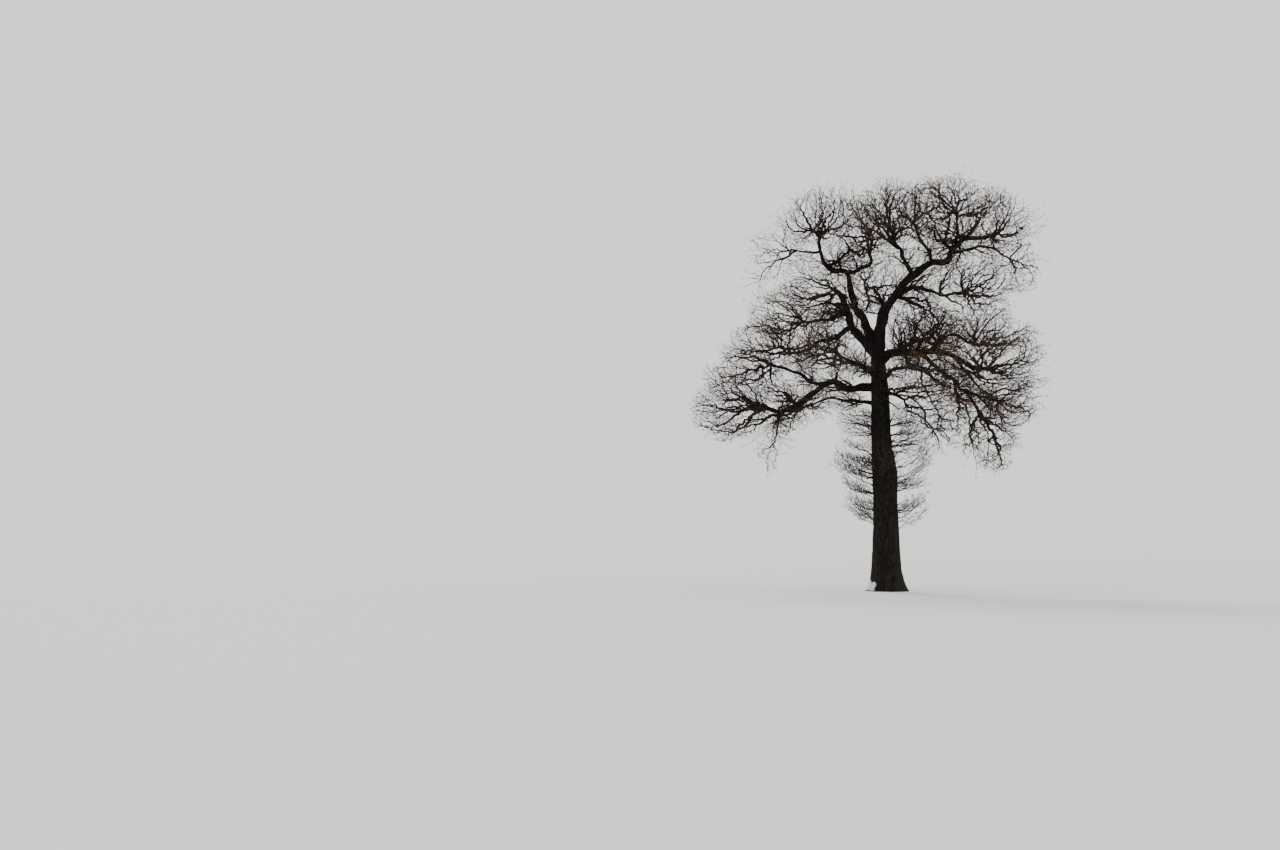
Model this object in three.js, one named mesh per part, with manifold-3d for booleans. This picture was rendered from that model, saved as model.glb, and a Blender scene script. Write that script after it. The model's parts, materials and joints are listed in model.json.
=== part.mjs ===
// A tall old field oak in winter, bare of leaves: one trunk on a flared foot that forks ten
// metres up into three crooked limbs, boughs that spread low on both sides, a separate mass
// of bare twigs on the end of every bough, and tufts of young shoots on the lower trunk.
// Millimetres, +Z up, origin in the middle of the flat cut at ground level. -Y is the side
// that the tree is seen from. Sizes in the tables are metres, because the tree is large.
import * as THREE from "three";
import Module from "manifold-3d";

const wasm = await Module();
wasm.setup();

const METRE = 1000;
// Clear space between a limb and what grows out of it, and how far a limb is thickened
// before it is taken out of that piece, which leaves at least this clearance on a slope.
const CLEARANCE = 0.3 / METRE;
const CUT_MARGIN = 0.5 / METRE;
// Corners nearer than this, in millimetres, are drawn together after a cut or a join.
const WELD = 0.05;

// Trunk: height, how far it leans to the left, and its radius without the flare.
const TRUNK = {
  sides: 18,
  rings: 16,
  stations: [
    { height: 0, lean: 0, radius: 0.62 },
    { height: 1.2, lean: -0.02, radius: 0.555 },
    { height: 3.2, lean: 0, radius: 0.475 },
    { height: 4.8, lean: -0.06, radius: 0.44 },
    { height: 6.2, lean: -0.12, radius: 0.39 },
    { height: 8.0, lean: -0.13, radius: 0.35 },
    { height: 9.4, lean: -0.19, radius: 0.28 },
    { height: 10.3, lean: -0.28, radius: 0.24 },
  ],
  dome: 0.35,
  // Above 1, the rings lie closer together towards the foot, where the flare bends most.
  crowding: 1.5,
};
// Root flare: how far its six buttresses stand out, and how fast they die away upwards.
const FLARE = { out: 0.24, lobes: 6, depth: 0.3, height: 0.36, turn: 0.5 };
// Burr: a swelling on the right of the trunk, where the lower shoots come from.
const BURR = { height: 4.6, spread: 0.7, out: 0.1 };

// Limbs and boughs. on: what it grows from. at: height of its foot on the trunk, or its
// share of the way along another limb. thick: radius at foot and tip. course: the bends
// that it takes after its foot, the last one being its tip, where its twigs begin.
const LIMBS = {
  limb_left: {
    on: "trunk",
    at: 9.35,
    thick: [0.21, 0.13],
    course: [[-0.8, -0.25, 10.2], [-1.25, -0.45, 10.6], [-1.35, -0.6, 11.15], [-1.55, -0.75, 11.85]],
  },
  limb_middle: {
    on: "trunk",
    at: 9.5,
    thick: [0.21, 0.07],
    course: [
      [-0.7, 0.35, 10.85], [-1.05, 0.5, 11.6], [-1.35, 0.3, 12.85],
      [-1.9, 0.1, 13.05], [-2.3, 0, 13.45], [-2.45, 0, 14],
    ],
  },
  limb_right: {
    on: "trunk",
    at: 9.5,
    thick: [0.235, 0.075],
    course: [
      [0.05, -0.1, 11.05], [0.5, -0.3, 11.75], [1.05, -0.4, 12.45], [1.8, -0.3, 12.95],
      [2.55, -0.1, 13.2], [2.8, 0, 13.6], [3.4, 0.2, 14.1], [4.15, 0.4, 14.2],
    ],
  },
  bough_low_left: {
    on: "trunk",
    at: 8.15,
    thick: [0.165, 0.09],
    course: [
      [-0.85, -0.2, 8.2], [-1.4, -0.4, 8.05], [-1.95, -0.7, 8.4], [-2.65, -0.9, 7.85],
      [-3.4, -1.1, 7.35], [-4.1, -1.2, 7.15], [-4.65, -1.2, 7.3],
    ],
  },
  bough_fork_left: {
    on: "bough_low_left",
    at: 0.43,
    thick: [0.095, 0.055],
    course: [[-2.7, -0.5, 8.3], [-3.2, -0.3, 8.65], [-3.8, -0.1, 8.95], [-4.35, 0, 9.15]],
  },
  bough_thin_left: {
    on: "trunk",
    at: 7.5,
    thick: [0.085, 0.045],
    course: [[-0.85, 0.5, 7.6], [-1.45, 0.9, 7.8], [-2.25, 1.4, 7.9], [-3.15, 1.8, 7.65]],
  },
  bough_shelf_left: {
    on: "limb_left",
    at: 0.5,
    thick: [0.11, 0.06],
    course: [[-1.75, -0.2, 10.3], [-2.4, 0.2, 10.15], [-3.1, 0.6, 9.85], [-3.85, 0.9, 9.75]],
  },
  bough_ray_left: {
    on: "limb_left",
    at: 0.75,
    thick: [0.085, 0.055],
    course: [[-1.9, -0.9, 10.9], [-2.5, -1.4, 10.7], [-3, -1.8, 10.6]],
  },
  bough_hanging: {
    on: "bough_low_left",
    at: 0.86,
    thick: [0.05, 0.035],
    course: [[-4.15, -1.3, 6.55], [-4.25, -1.4, 6.05]],
  },
  bough_far_left: {
    on: "limb_middle",
    at: 0.97,
    thick: [0.05, 0.04],
    course: [[-3.05, -0.4, 13.75], [-3.6, -0.7, 13.8]],
  },
  bough_top_middle: {
    on: "limb_middle",
    at: 0.5,
    thick: [0.1, 0.055],
    course: [[-0.85, 0.8, 13.25], [-0.45, 1.2, 13.6], [-0.5, 1.5, 14.25]],
  },
  bough_top_centre: {
    on: "limb_right",
    at: 0.42,
    thick: [0.1, 0.055],
    course: [[0.9, -0.9, 12.95], [0.85, -1.4, 13.4], [0.5, -1.8, 13.7]],
  },
  bough_straight: {
    on: "limb_right",
    at: 0.54,
    thick: [0.09, 0.055],
    course: [[1.85, 0.3, 13.85], [1.5, 0.8, 14.7]],
  },
  bough_top_right: {
    on: "limb_right",
    at: 0.8,
    thick: [0.08, 0.05],
    course: [[3, -0.4, 14.3], [3, -0.7, 14.8]],
  },
  bough_far_right: {
    on: "limb_right",
    at: 0.73,
    thick: [0.065, 0.045],
    course: [[3.5, -0.5, 13.55], [4.2, -1, 13.45], [4.7, -1.3, 13.05]],
  },
  bough_right_middle: {
    on: "limb_right",
    at: 0.3,
    thick: [0.1, 0.055],
    course: [[1.5, -0.7, 12.05], [2.15, -1.1, 11.65], [2.95, -1.4, 11.6]],
  },
  bough_centre: {
    on: "limb_right",
    at: 0.15,
    thick: [0.085, 0.05],
    course: [[0, 0.4, 11.8], [-0.3, 0.9, 12.35], [-0.55, 1.5, 12.6]],
  },
  bough_right_long: {
    on: "trunk",
    at: 9.4,
    thick: [0.175, 0.08],
    course: [
      [0.55, -0.3, 9.5], [1.25, -0.8, 9.4], [2.15, -1.3, 9.3], [2.85, -1.7, 8.95], [3.4, -1.9, 8.55],
    ],
  },
  bough_drooping: {
    on: "bough_right_long",
    at: 0.44,
    thick: [0.095, 0.055],
    course: [[2, -1.6, 8.7], [2.6, -2.2, 8.05], [3.1, -2.7, 7.45], [3.5, -3, 6.75]],
  },
  bough_low_right: {
    on: "bough_right_long",
    at: 0.76,
    thick: [0.07, 0.045],
    course: [[3.3, -1.2, 8.35], [4, -0.7, 7.7]],
  },
  bough_arch: {
    on: "bough_right_long",
    at: 0.52,
    thick: [0.085, 0.055],
    course: [[2.25, -0.6, 9.85], [2.85, 0, 10.2], [3.4, 0.6, 9.95]],
  },
  bough_back_right: {
    on: "trunk",
    at: 9.1,
    thick: [0.11, 0.06],
    course: [[0.7, 1.2, 9.9], [1.5, 2.3, 10.4]],
  },
  bough_front_left: {
    on: "trunk",
    at: 8.6,
    thick: [0.11, 0.06],
    course: [[-0.8, -1.4, 8.8], [-1.6, -2.6, 9.05]],
  },
  bough_front_right: {
    on: "trunk",
    at: 8.5,
    thick: [0.11, 0.06],
    course: [[0.5, -1.4, 8.65], [1.2, -2.5, 8.5]],
  },
  bough_back_left: {
    on: "trunk",
    at: 8.8,
    thick: [0.12, 0.06],
    course: [[-0.95, 1.5, 9.3], [-1.6, 2.8, 9.65]],
  },
};
const LIMB_SIDES = 6;
const LIMB_RING_SPACING = 0.55;
// Below 1, a limb loses more of its thickness near its foot than near its tip.
const TAPER = 0.8;
// Collar: the swelling where a limb leaves its parent. How far it stands out as a share of
// the limb's radius, and how far along it fades and has a ring, in radii of the parent.
const COLLAR = { out: 0.35, fade: 1.5, ring: 1.3 };

// Masses of twigs. Each keeps to an egg-shaped space: its centre and its reach sideways, in
// depth and upwards. on: the bough whose tip carries it, or the trunk, then with the height
// (at) and compass angle (side, degrees from the right) of its foot and its radius (thick).
const MASSES = {
  left_crest: { on: "limb_left", centre: [-2.7, -0.9, 12], reach: [1.7, 1.8, 0.95] },
  left_low: { on: "bough_low_left", centre: [-6, -1.5, 7.3], reach: [1.9, 1.9, 1.6] },
  left_upper: { on: "bough_fork_left", centre: [-5.3, 0.1, 8.95], reach: [1.9, 1.8, 1.2] },
  left_under: { on: "bough_thin_left", centre: [-4.15, 2.2, 7.2], reach: [1.3, 1.4, 0.8] },
  left_shelf: { on: "bough_shelf_left", centre: [-4.9, 1.2, 10.35], reach: [1.8, 1.8, 1.2] },
  left_ray: { on: "bough_ray_left", centre: [-3.9, -2.3, 10.8], reach: [1.7, 1.8, 1.1] },
  left_hanging: { on: "bough_hanging", centre: [-4.45, -1.5, 5.35], reach: [0.5, 0.6, 0.95], twigs: 13 },
  top_left: { on: "limb_middle", centre: [-2.4, -0.2, 15.2], reach: [1.7, 1.8, 1.6] },
  far_left: { on: "bough_far_left", centre: [-4.5, -0.9, 13.8], reach: [1.2, 1.1, 1], twigs: 18 },
  top_middle: { on: "bough_top_middle", centre: [-0.75, 1.8, 15.3], reach: [1.6, 1.8, 1.8] },
  top_centre: { on: "bough_top_centre", centre: [0.4, -1.9, 14.8], reach: [1.6, 1.8, 1.6] },
  top_crest: { on: "bough_straight", centre: [1.8, 1.4, 15.5], reach: [1.7, 1.9, 1.6] },
  top_right: { on: "bough_top_right", centre: [3, -1.2, 15.1], reach: [1.7, 1.9, 1.6] },
  right_crest: { on: "limb_right", centre: [4.7, 0.6, 14.8], reach: [1.7, 1.9, 1.4] },
  far_right: { on: "bough_far_right", centre: [5.2, -1.6, 12.7], reach: [1.2, 1.4, 1], twigs: 18 },
  right_middle: { on: "bough_right_middle", centre: [3.6, -1.8, 11.8], reach: [1.8, 1.9, 1.25] },
  centre_back: { on: "bough_centre", centre: [-0.3, 2.4, 12.7], reach: [1.8, 1.8, 1.4] },
  right_long: { on: "bough_right_long", centre: [4.5, -2.2, 8.9], reach: [1.8, 1.8, 1.2] },
  right_drooping: { on: "bough_drooping", centre: [3.9, -3, 5.75], reach: [1.3, 1.6, 1.5] },
  right_low: { on: "bough_low_right", centre: [4.8, -0.3, 7.45], reach: [1.5, 1.8, 1.25] },
  right_arch: { on: "bough_arch", centre: [4.5, 1.1, 10.3], reach: [1.8, 1.9, 1.2] },
  right_back: { on: "bough_back_right", centre: [2.4, 3.3, 11], reach: [1.8, 1.8, 1.4] },
  front_left: { on: "bough_front_left", centre: [-2.4, -3.8, 9.2], reach: [1.7, 1.7, 1.25] },
  front_right: { on: "bough_front_right", centre: [2, -3.7, 8.2], reach: [1.6, 1.8, 1.3] },
  back_left: { on: "bough_back_left", centre: [-2.5, 3.9, 10.1], reach: [1.8, 1.7, 1.4] },
  right_inner: {
    on: "trunk", at: 7.85, side: -15, thick: 0.07,
    centre: [1.6, -0.9, 7.6], reach: [1.5, 1.4, 1.1], twigs: 15,
  },
  shoots_left_upper: {
    on: "trunk", at: 6.5, side: 190, thick: 0.05,
    centre: [-1.1, -0.2, 6.7], reach: [0.9, 1, 0.9], twigs: 10, fan: true,
  },
  shoots_left_middle: {
    on: "trunk", at: 4.35, side: 175, thick: 0.05,
    centre: [-1.2, 0.1, 4.95], reach: [1, 1.1, 1.1], twigs: 10, fan: true,
  },
  shoots_left_low: {
    on: "trunk", at: 2.95, side: 185, thick: 0.04,
    centre: [-1, 0, 3.4], reach: [0.7, 0.8, 0.7], twigs: 9, fan: true,
  },
  shoots_right_upper: {
    on: "trunk", at: 5.9, side: 15, thick: 0.05,
    centre: [1.05, 0.2, 6.3], reach: [1, 1.1, 1], twigs: 11, fan: true,
  },
  shoots_right_middle: {
    on: "trunk", at: 4.35, side: 0, thick: 0.06,
    centre: [1.15, 0, 4.75], reach: [1, 1.1, 0.9], twigs: 11, fan: true,
  },
  shoots_right_low: {
    on: "trunk", at: 2.95, side: -10, thick: 0.05,
    centre: [1.05, -0.1, 3.3], reach: [0.8, 0.9, 0.8], twigs: 10, fan: true,
  },
  shoots_front: {
    on: "trunk", at: 4.5, side: 265, thick: 0.05,
    centre: [-0.05, -1.1, 5.1], reach: [0.6, 0.8, 0.9], twigs: 9, fan: true,
  },
  shoots_back: {
    on: "trunk", at: 4.6, side: 95, thick: 0.05,
    centre: [-0.05, 1.1, 5.2], reach: [0.65, 0.8, 0.9], twigs: 9, fan: true,
  },
};
const TWIGS = 21;
const TWIG_RADIUS = 0.017;
const STEM_SIDES = 4;
const TWIG_SIDES = 3;
// Side twigs start one behind the other on the way back from a fork point, as a share of
// that length, and are slimmer at the root than what they grow from.
const SIDE_TWIG = { back: 0.12, furthest: 0.7, slimmer: 0.6 };
// Stem: how far it goes straight on from its foot before it bends, how far along its way to
// the middle that heading is kept up, how far past the middle it runs, and in how many
// lengths. On the trunk it starts this share of the radius out, and rises this steeply.
const STEM = { straight: 0.06, bend: 0.6, past: 0.9, lengths: 3, inside: 0.8, rise: 0.35 };
// No twig leaves the stem nearer its foot than this, and a longer twig gets a fork point
// in the middle.
const BARE_STEM = 0.1;
const LONG_TWIG = 1;
// What it costs a twig to turn back on what it grows from, to be far from the foot, and to
// leave a fork point that already has twigs.
const TURN_COST = 1.4;
const PATH_COST = { spread: 0.4, fan: 0.8 };
const CROWD_COST = 0.22;
// Room kept from a limb, and from the space of the next mass as a share of its size.
const LIMB_ROOM = 0.035;
const SPACE_ROOM = 0.08;
// Distance between the points of a limb's axis that this room is measured from.
const BALL_SPACING = 0.08;
// Steps of the even spread of twig ends over a space, for its three directions, and how
// much further on each next mass starts.
const SPREAD = [0.8191725134, 0.6710436067, 0.5497004779];
const SEED_STEP = 0.554;
// Power that moves those ends from the middle of the space towards its outside.
const SPREAD_OUT = 0.2;

const BARK = { color: 0x453c33, roughness: 0.95, metalness: 0 };
const TWIG_BARK = { color: 0x5c4333, roughness: 0.85, metalness: 0 };

const vector = (list) => new THREE.Vector3(...list);

function fraction(value) {
  return value - Math.floor(value);
}

// A closed tube through the centres, as a solid. A last radius of 0 gives a point. Each ring
// faces along its heading or, without headings, along the line between its neighbours.
function tube(centres, radii, sides, headings) {
  const corners = [];
  const triangles = [];
  const across = new THREE.Vector3(1, 0, 0);
  centres.forEach((centre, ring) => {
    const before = centres[Math.max(ring - 1, 0)];
    const after = centres[Math.min(ring + 1, centres.length - 1)];
    const along = headings ? headings[ring] : after.clone().sub(before).normalize();
    if (ring === 0 && Math.abs(along.x) > 0.9) across.set(0, 1, 0);
    across.addScaledVector(along, -across.dot(along)).normalize();
    const up = along.clone().cross(across);
    const count = radii[ring] > 0 ? sides : 1;
    for (let side = 0; side < count; side++) {
      const angle = (side / sides) * 2 * Math.PI;
      corners.push(
        centre
          .clone()
          .addScaledVector(across, radii[ring] * Math.cos(angle))
          .addScaledVector(up, radii[ring] * Math.sin(angle)),
      );
    }
  });
  const last = centres.length - 1;
  for (let ring = 0; ring < last; ring++) {
    const pointed = radii[ring + 1] === 0;
    for (let side = 0; side < sides; side++) {
      const a = ring * sides + side;
      const b = ring * sides + ((side + 1) % sides);
      if (pointed) {
        triangles.push(a, b, last * sides);
      } else {
        triangles.push(a, b, b + sides, a, b + sides, a + sides);
      }
    }
  }
  for (let side = 1; side < sides - 1; side++) {
    triangles.push(0, side + 1, side);
    if (radii[last] > 0) triangles.push(last * sides, last * sides + side, last * sides + side + 1);
  }
  return solid(corners, triangles);
}

// Corners in metres and triangles that name them, as a solid in millimetres.
function solid(corners, triangles) {
  const millimetres = corners.flatMap((corner) => corner.toArray().map((v) => v * METRE));
  const vertProperties = new Float32Array(millimetres);
  const mesh = new wasm.Mesh({ numProp: 3, vertProperties, triVerts: new Uint32Array(triangles) });
  mesh.merge();
  return new wasm.Manifold(mesh);
}

// The largest of the bodies that a cut or a join has left, without scraps or hollows.
function largest(made) {
  const bodies = made.simplify(WELD).decompose();
  return bodies.reduce((best, body) => (body.volume() > best.volume() ? body : best));
}

function asMesh(name, made, finish) {
  const data = made.getMesh();
  const geometry = new THREE.BufferGeometry();
  geometry.setAttribute("position", new THREE.BufferAttribute(new Float32Array(data.vertProperties), 3));
  geometry.setIndex(new THREE.BufferAttribute(new Uint32Array(data.triVerts), 1));
  geometry.computeVertexNormals();
  const mesh = new THREE.Mesh(geometry, new THREE.MeshStandardMaterial(finish));
  mesh.name = name;
  return mesh;
}

// Lean and radius of the trunk at a height, between the stations on either side of it.
function trunkAt(height) {
  const after = TRUNK.stations.findIndex((station) => station.height > height);
  const next = TRUNK.stations[after < 0 ? TRUNK.stations.length - 1 : after];
  const last = TRUNK.stations[TRUNK.stations.indexOf(next) - 1];
  const share = (height - last.height) / (next.height - last.height);
  return {
    centre: new THREE.Vector3(THREE.MathUtils.lerp(last.lean, next.lean, share), 0, height),
    radius: THREE.MathUtils.lerp(last.radius, next.radius, share),
  };
}

// Radius of the trunk's bark at a height and a compass angle, with flare and burr.
function barkRadius(height, angle) {
  const lobe = 1 - FLARE.depth * (0.5 - 0.5 * Math.cos(FLARE.lobes * angle + FLARE.turn));
  const flare = FLARE.out * lobe * Math.exp(-height / FLARE.height);
  const off = (height - BURR.height) / BURR.spread;
  const burr = BURR.out * Math.exp(-off * off) * Math.max(Math.cos(angle), 0);
  return trunkAt(height).radius + flare + burr;
}

function trunkSolid(margin) {
  const { sides, rings, dome } = TRUNK;
  const top = TRUNK.stations.at(-1).height;
  const corners = [];
  const triangles = [];
  for (let ring = 0; ring < rings; ring++) {
    const height = (top - dome) * (ring / (rings - 1)) ** TRUNK.crowding;
    for (let side = 0; side < sides; side++) {
      const angle = (side / sides) * 2 * Math.PI;
      const radius = barkRadius(height, angle) + margin;
      const corner = new THREE.Vector3(radius * Math.cos(angle), radius * Math.sin(angle), 0);
      corners.push(corner.add(trunkAt(height).centre));
    }
  }
  corners.push(trunkAt(top).centre.clone().add(new THREE.Vector3(0, 0, margin)));
  const apex = corners.length - 1;
  for (let side = 0; side < sides; side++) {
    const next = (side + 1) % sides;
    for (let ring = 0; ring < rings - 1; ring++) {
      const a = ring * sides + side;
      const b = ring * sides + next;
      triangles.push(a, b, b + sides, a, b + sides, a + sides);
    }
    const rim = (rings - 1) * sides;
    triangles.push(rim + side, rim + next, apex);
    if (side > 0 && side < sides - 1) triangles.push(0, side + 1, side);
  }
  return solid(corners, triangles);
}

// The way that a limb takes, as a smooth curve from its foot on its parent's axis.
const curves = {};
function limbCurve(name) {
  if (!curves[name]) {
    const limb = LIMBS[name];
    const foot = limb.on === "trunk" ? trunkAt(limb.at).centre : limbCurve(limb.on).getPoint(limb.at);
    const knots = [foot, ...limb.course.map(vector)];
    curves[name] = new THREE.CatmullRomCurve3(knots, false, "catmullrom", 0.5);
  }
  return curves[name];
}

// Radius of a limb at a share of its length: its taper, and the collar at its foot.
function limbRadius(name, share) {
  const [foot, tip] = LIMBS[name].thick;
  const length = limbCurve(name).getLength();
  const collar = COLLAR.out * Math.exp((-share * length) / (COLLAR.fade * parentRadius(name)));
  return THREE.MathUtils.lerp(foot, tip, share ** TAPER) * (1 + collar);
}

function parentRadius(name) {
  const limb = LIMBS[name];
  return limb.on === "trunk" ? trunkAt(limb.at).radius : limbRadius(limb.on, limb.at);
}

function limbSolid(name, margin) {
  const curve = limbCurve(name);
  const length = curve.getLength();
  const rings = Math.max(2, Math.round(length / LIMB_RING_SPACING));
  const first = (COLLAR.ring * parentRadius(name)) / length;
  const shares = [0];
  for (let ring = 0; ring <= rings; ring++) shares.push(THREE.MathUtils.lerp(first, 1, ring / rings));
  const centres = shares.map((share) => curve.getPoint(share));
  const radii = shares.map((share) => limbRadius(name, share) + margin);
  const headings = shares.map((share) => curve.getTangent(share));
  centres[0].addScaledVector(headings[0], -margin);
  return tube(centres, radii, LIMB_SIDES, headings);
}

// Where limbs are, as balls strung along their axes, for twigs to keep clear of.
function limbBalls() {
  const balls = [];
  for (const name of Object.keys(LIMBS)) {
    const curve = limbCurve(name);
    const steps = Math.ceil(curve.getLength() / BALL_SPACING);
    for (let step = 0; step <= steps; step++) {
      balls.push({ centre: curve.getPoint(step / steps), radius: limbRadius(name, step / steps) });
    }
  }
  return balls;
}

function inTrunk(point, room) {
  const height = point.z;
  if (height > TRUNK.stations.at(-1).height) return false;
  const out = point.clone().sub(trunkAt(Math.max(height, 0)).centre);
  return Math.hypot(out.x, out.y) < barkRadius(Math.max(height, 0), Math.atan2(out.y, out.x)) + room;
}

// How far out a point lies in a mass's space: 0 in its middle, 1 on its surface.
function farOut(mass, point) {
  const [x, y, z] = mass.centre;
  const [rx, ry, rz] = mass.reach;
  return Math.hypot((point.x - x) / rx, (point.y - y) / ry, (point.z - z) / rz);
}

function inOwnSpace(mass, point) {
  const own = farOut(mass, point);
  const others = Object.values(MASSES).filter((other) => other !== mass);
  return own <= 1 && others.every((other) => farOut(other, point) > own + SPACE_ROOM);
}

const balls = limbBalls();
function isFree(mass, point) {
  const clear = ({ centre, radius }) => centre.distanceTo(point) > radius + LIMB_ROOM;
  return inOwnSpace(mass, point) && !inTrunk(point, LIMB_ROOM) && balls.every(clear);
}

// The foot of a mass: the tip of its bough, or a place just inside the bark of the trunk.
function massFoot(mass) {
  if (mass.on !== "trunk") {
    const curve = limbCurve(mass.on);
    const along = curve.getTangent(1);
    const foot = curve.getPoint(1).addScaledVector(along, CLEARANCE);
    return { foot, along, radius: LIMBS[mass.on].thick[1] };
  }
  const angle = THREE.MathUtils.degToRad(mass.side);
  const outwards = new THREE.Vector3(Math.cos(angle), Math.sin(angle), 0);
  const { centre, radius } = trunkAt(mass.at);
  const foot = centre.addScaledVector(outwards, STEM.inside * radius);
  return { foot, along: outwards.setZ(STEM.rise).normalize(), radius: mass.thick };
}

// The end that twig number k of a mass grows towards, spread evenly over its space.
function twigEnd(mass, seed, k) {
  const [a, b, c] = SPREAD.map((step) => fraction(0.5 + SEED_STEP * seed + step * (k + 1)));
  const rise = 2 * a - 1;
  const level = Math.sqrt(1 - rise * rise);
  const out = c ** SPREAD_OUT;
  const turn = 2 * Math.PI * b;
  const direction = new THREE.Vector3(level * Math.cos(turn), level * Math.sin(turn), rise);
  return direction.multiply(vector(mass.reach)).multiplyScalar(out).add(vector(mass.centre));
}

// Grows a mass: a stem, then twig after twig, each from the fork point that costs it least.
// Returns the fork points, each with its place, its parent and its distance from the foot.
function grow(mass, seed) {
  const { foot, along } = massFoot(mass);
  const centre = vector(mass.centre);
  const span = centre.distanceTo(foot);
  const end = centre.clone().lerp(foot, -STEM.past);
  const straight = foot.clone().addScaledVector(along, STEM.straight);
  const bend = foot.clone().addScaledVector(along, STEM.bend * span);
  const stem = new THREE.QuadraticBezierCurve3(straight, bend, end);
  const forks = [{ place: foot, parent: -1, heading: along, path: 0, twigs: 0 }];
  const add = (place, parent) => {
    const step = place.clone().sub(forks[parent].place);
    const path = forks[parent].path + step.length();
    forks[parent].twigs += 1;
    forks.push({ place, parent, heading: step.normalize(), path, twigs: 0 });
    return forks.length - 1;
  };
  add(straight, 0);
  for (let length = 1; length <= STEM.lengths; length++) {
    const place = stem.getPoint(length / STEM.lengths);
    if (!inOwnSpace(mass, place)) break;
    add(place, forks.length - 1);
  }
  const pathCost = mass.fan ? PATH_COST.fan : PATH_COST.spread;
  for (let k = 0; k < (mass.twigs ?? TWIGS); k++) {
    const tip = twigEnd(mass, seed, k);
    if (!isFree(mass, tip)) continue;
    let best = -1;
    let least = Infinity;
    forks.forEach((fork, index) => {
      if (fork.path < BARE_STEM) return;
      const step = tip.clone().sub(fork.place);
      const turning = step.length() * TURN_COST - step.dot(fork.heading);
      const cost = turning + pathCost * fork.path + CROWD_COST * fork.twigs;
      if (cost < least) [least, best] = [cost, index];
    });
    if (best < 0) continue;
    const start = forks[best].place;
    const onTheWay = [0.3, 0.5, 0.75].map((share) => start.clone().lerp(tip, share));
    if (!onTheWay.every((place) => isFree(mass, place))) continue;
    const isLong = tip.distanceTo(start) > LONG_TWIG;
    add(tip, isLong ? add(start.clone().lerp(tip, 0.5), best) : best);
  }
  return forks;
}

// Turns fork points into one solid. Each run of twig goes on from a fork point through the
// child that carries most, and the other children start runs of their own inside it.
function twigSolid(mass, seed) {
  const forks = grow(mass, seed);
  const carried = forks.map(() => 0);
  const children = forks.map(() => []);
  for (let index = forks.length - 1; index > 0; index--) {
    carried[index] = Math.max(carried[index], 1);
    carried[forks[index].parent] += carried[index];
    children[forks[index].parent].push(index);
  }
  const { radius } = massFoot(mass);
  const share = (index) => (carried[index] - 1) / (carried[0] - 1);
  const radiusAt = (index) => TWIG_RADIUS + (radius - TWIG_RADIUS) * Math.sqrt(share(index));
  const runs = [];
  const addRun = (start, startRadius, first, sides) => {
    const places = [start];
    const radii = [startRadius];
    let index = first;
    while (index !== undefined) {
      const before = places.at(-1);
      const here = index;
      const [heir, ...others] = children[here].sort((one, other) => carried[other] - carried[one]);
      places.push(forks[here].place);
      radii.push(heir === undefined ? 0 : radiusAt(heir));
      others.forEach((child, order) => {
        const back = Math.min(SIDE_TWIG.back * (order + 1), SIDE_TWIG.furthest);
        const from = forks[here].place.clone().lerp(before, back);
        addRun(from, Math.min(radiusAt(child), SIDE_TWIG.slimmer * radiusAt(here)), child, TWIG_SIDES);
      });
      index = heir;
    }
    runs.push(tube(places, radii, sides));
  };
  addRun(forks[0].place, radius, 1, STEM_SIDES);
  return wasm.Manifold.union(runs);
}

const tree = new THREE.Group();
tree.name = "bare_oak";

const trunk = trunkSolid(0);
const trunkCutter = trunkSolid(CUT_MARGIN);
tree.add(asMesh("trunk", trunk, BARK));

// Each limb starts on its parent's axis and loses what lies inside the trunk and the limbs
// made before it, so that neighbours meet face to face.
const cutters = [trunkCutter];
for (const name of Object.keys(LIMBS)) {
  const limb = largest(limbSolid(name, 0).subtract(wasm.Manifold.union(cutters)));
  cutters.push(limbSolid(name, CUT_MARGIN));
  tree.add(asMesh(name, limb, BARK));
}

Object.entries(MASSES).forEach(([name, mass], seed) => {
  const twigs = twigSolid(mass, seed);
  const freed = mass.on === "trunk" ? twigs.subtract(trunkCutter) : twigs;
  tree.add(asMesh(`twigs_${name}`, largest(freed), TWIG_BARK));
});

export default tree;
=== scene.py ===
# A tall old field oak in winter, bare of leaves, as it stands alone on open ground. Metres,
# +Z up, in the frame of the solids: the origin is in the middle of the flat cut under the
# trunk, and -Y is the side that the tree is seen from.
import contextlib
import functools
import json
import math
from collections import namedtuple

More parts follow.
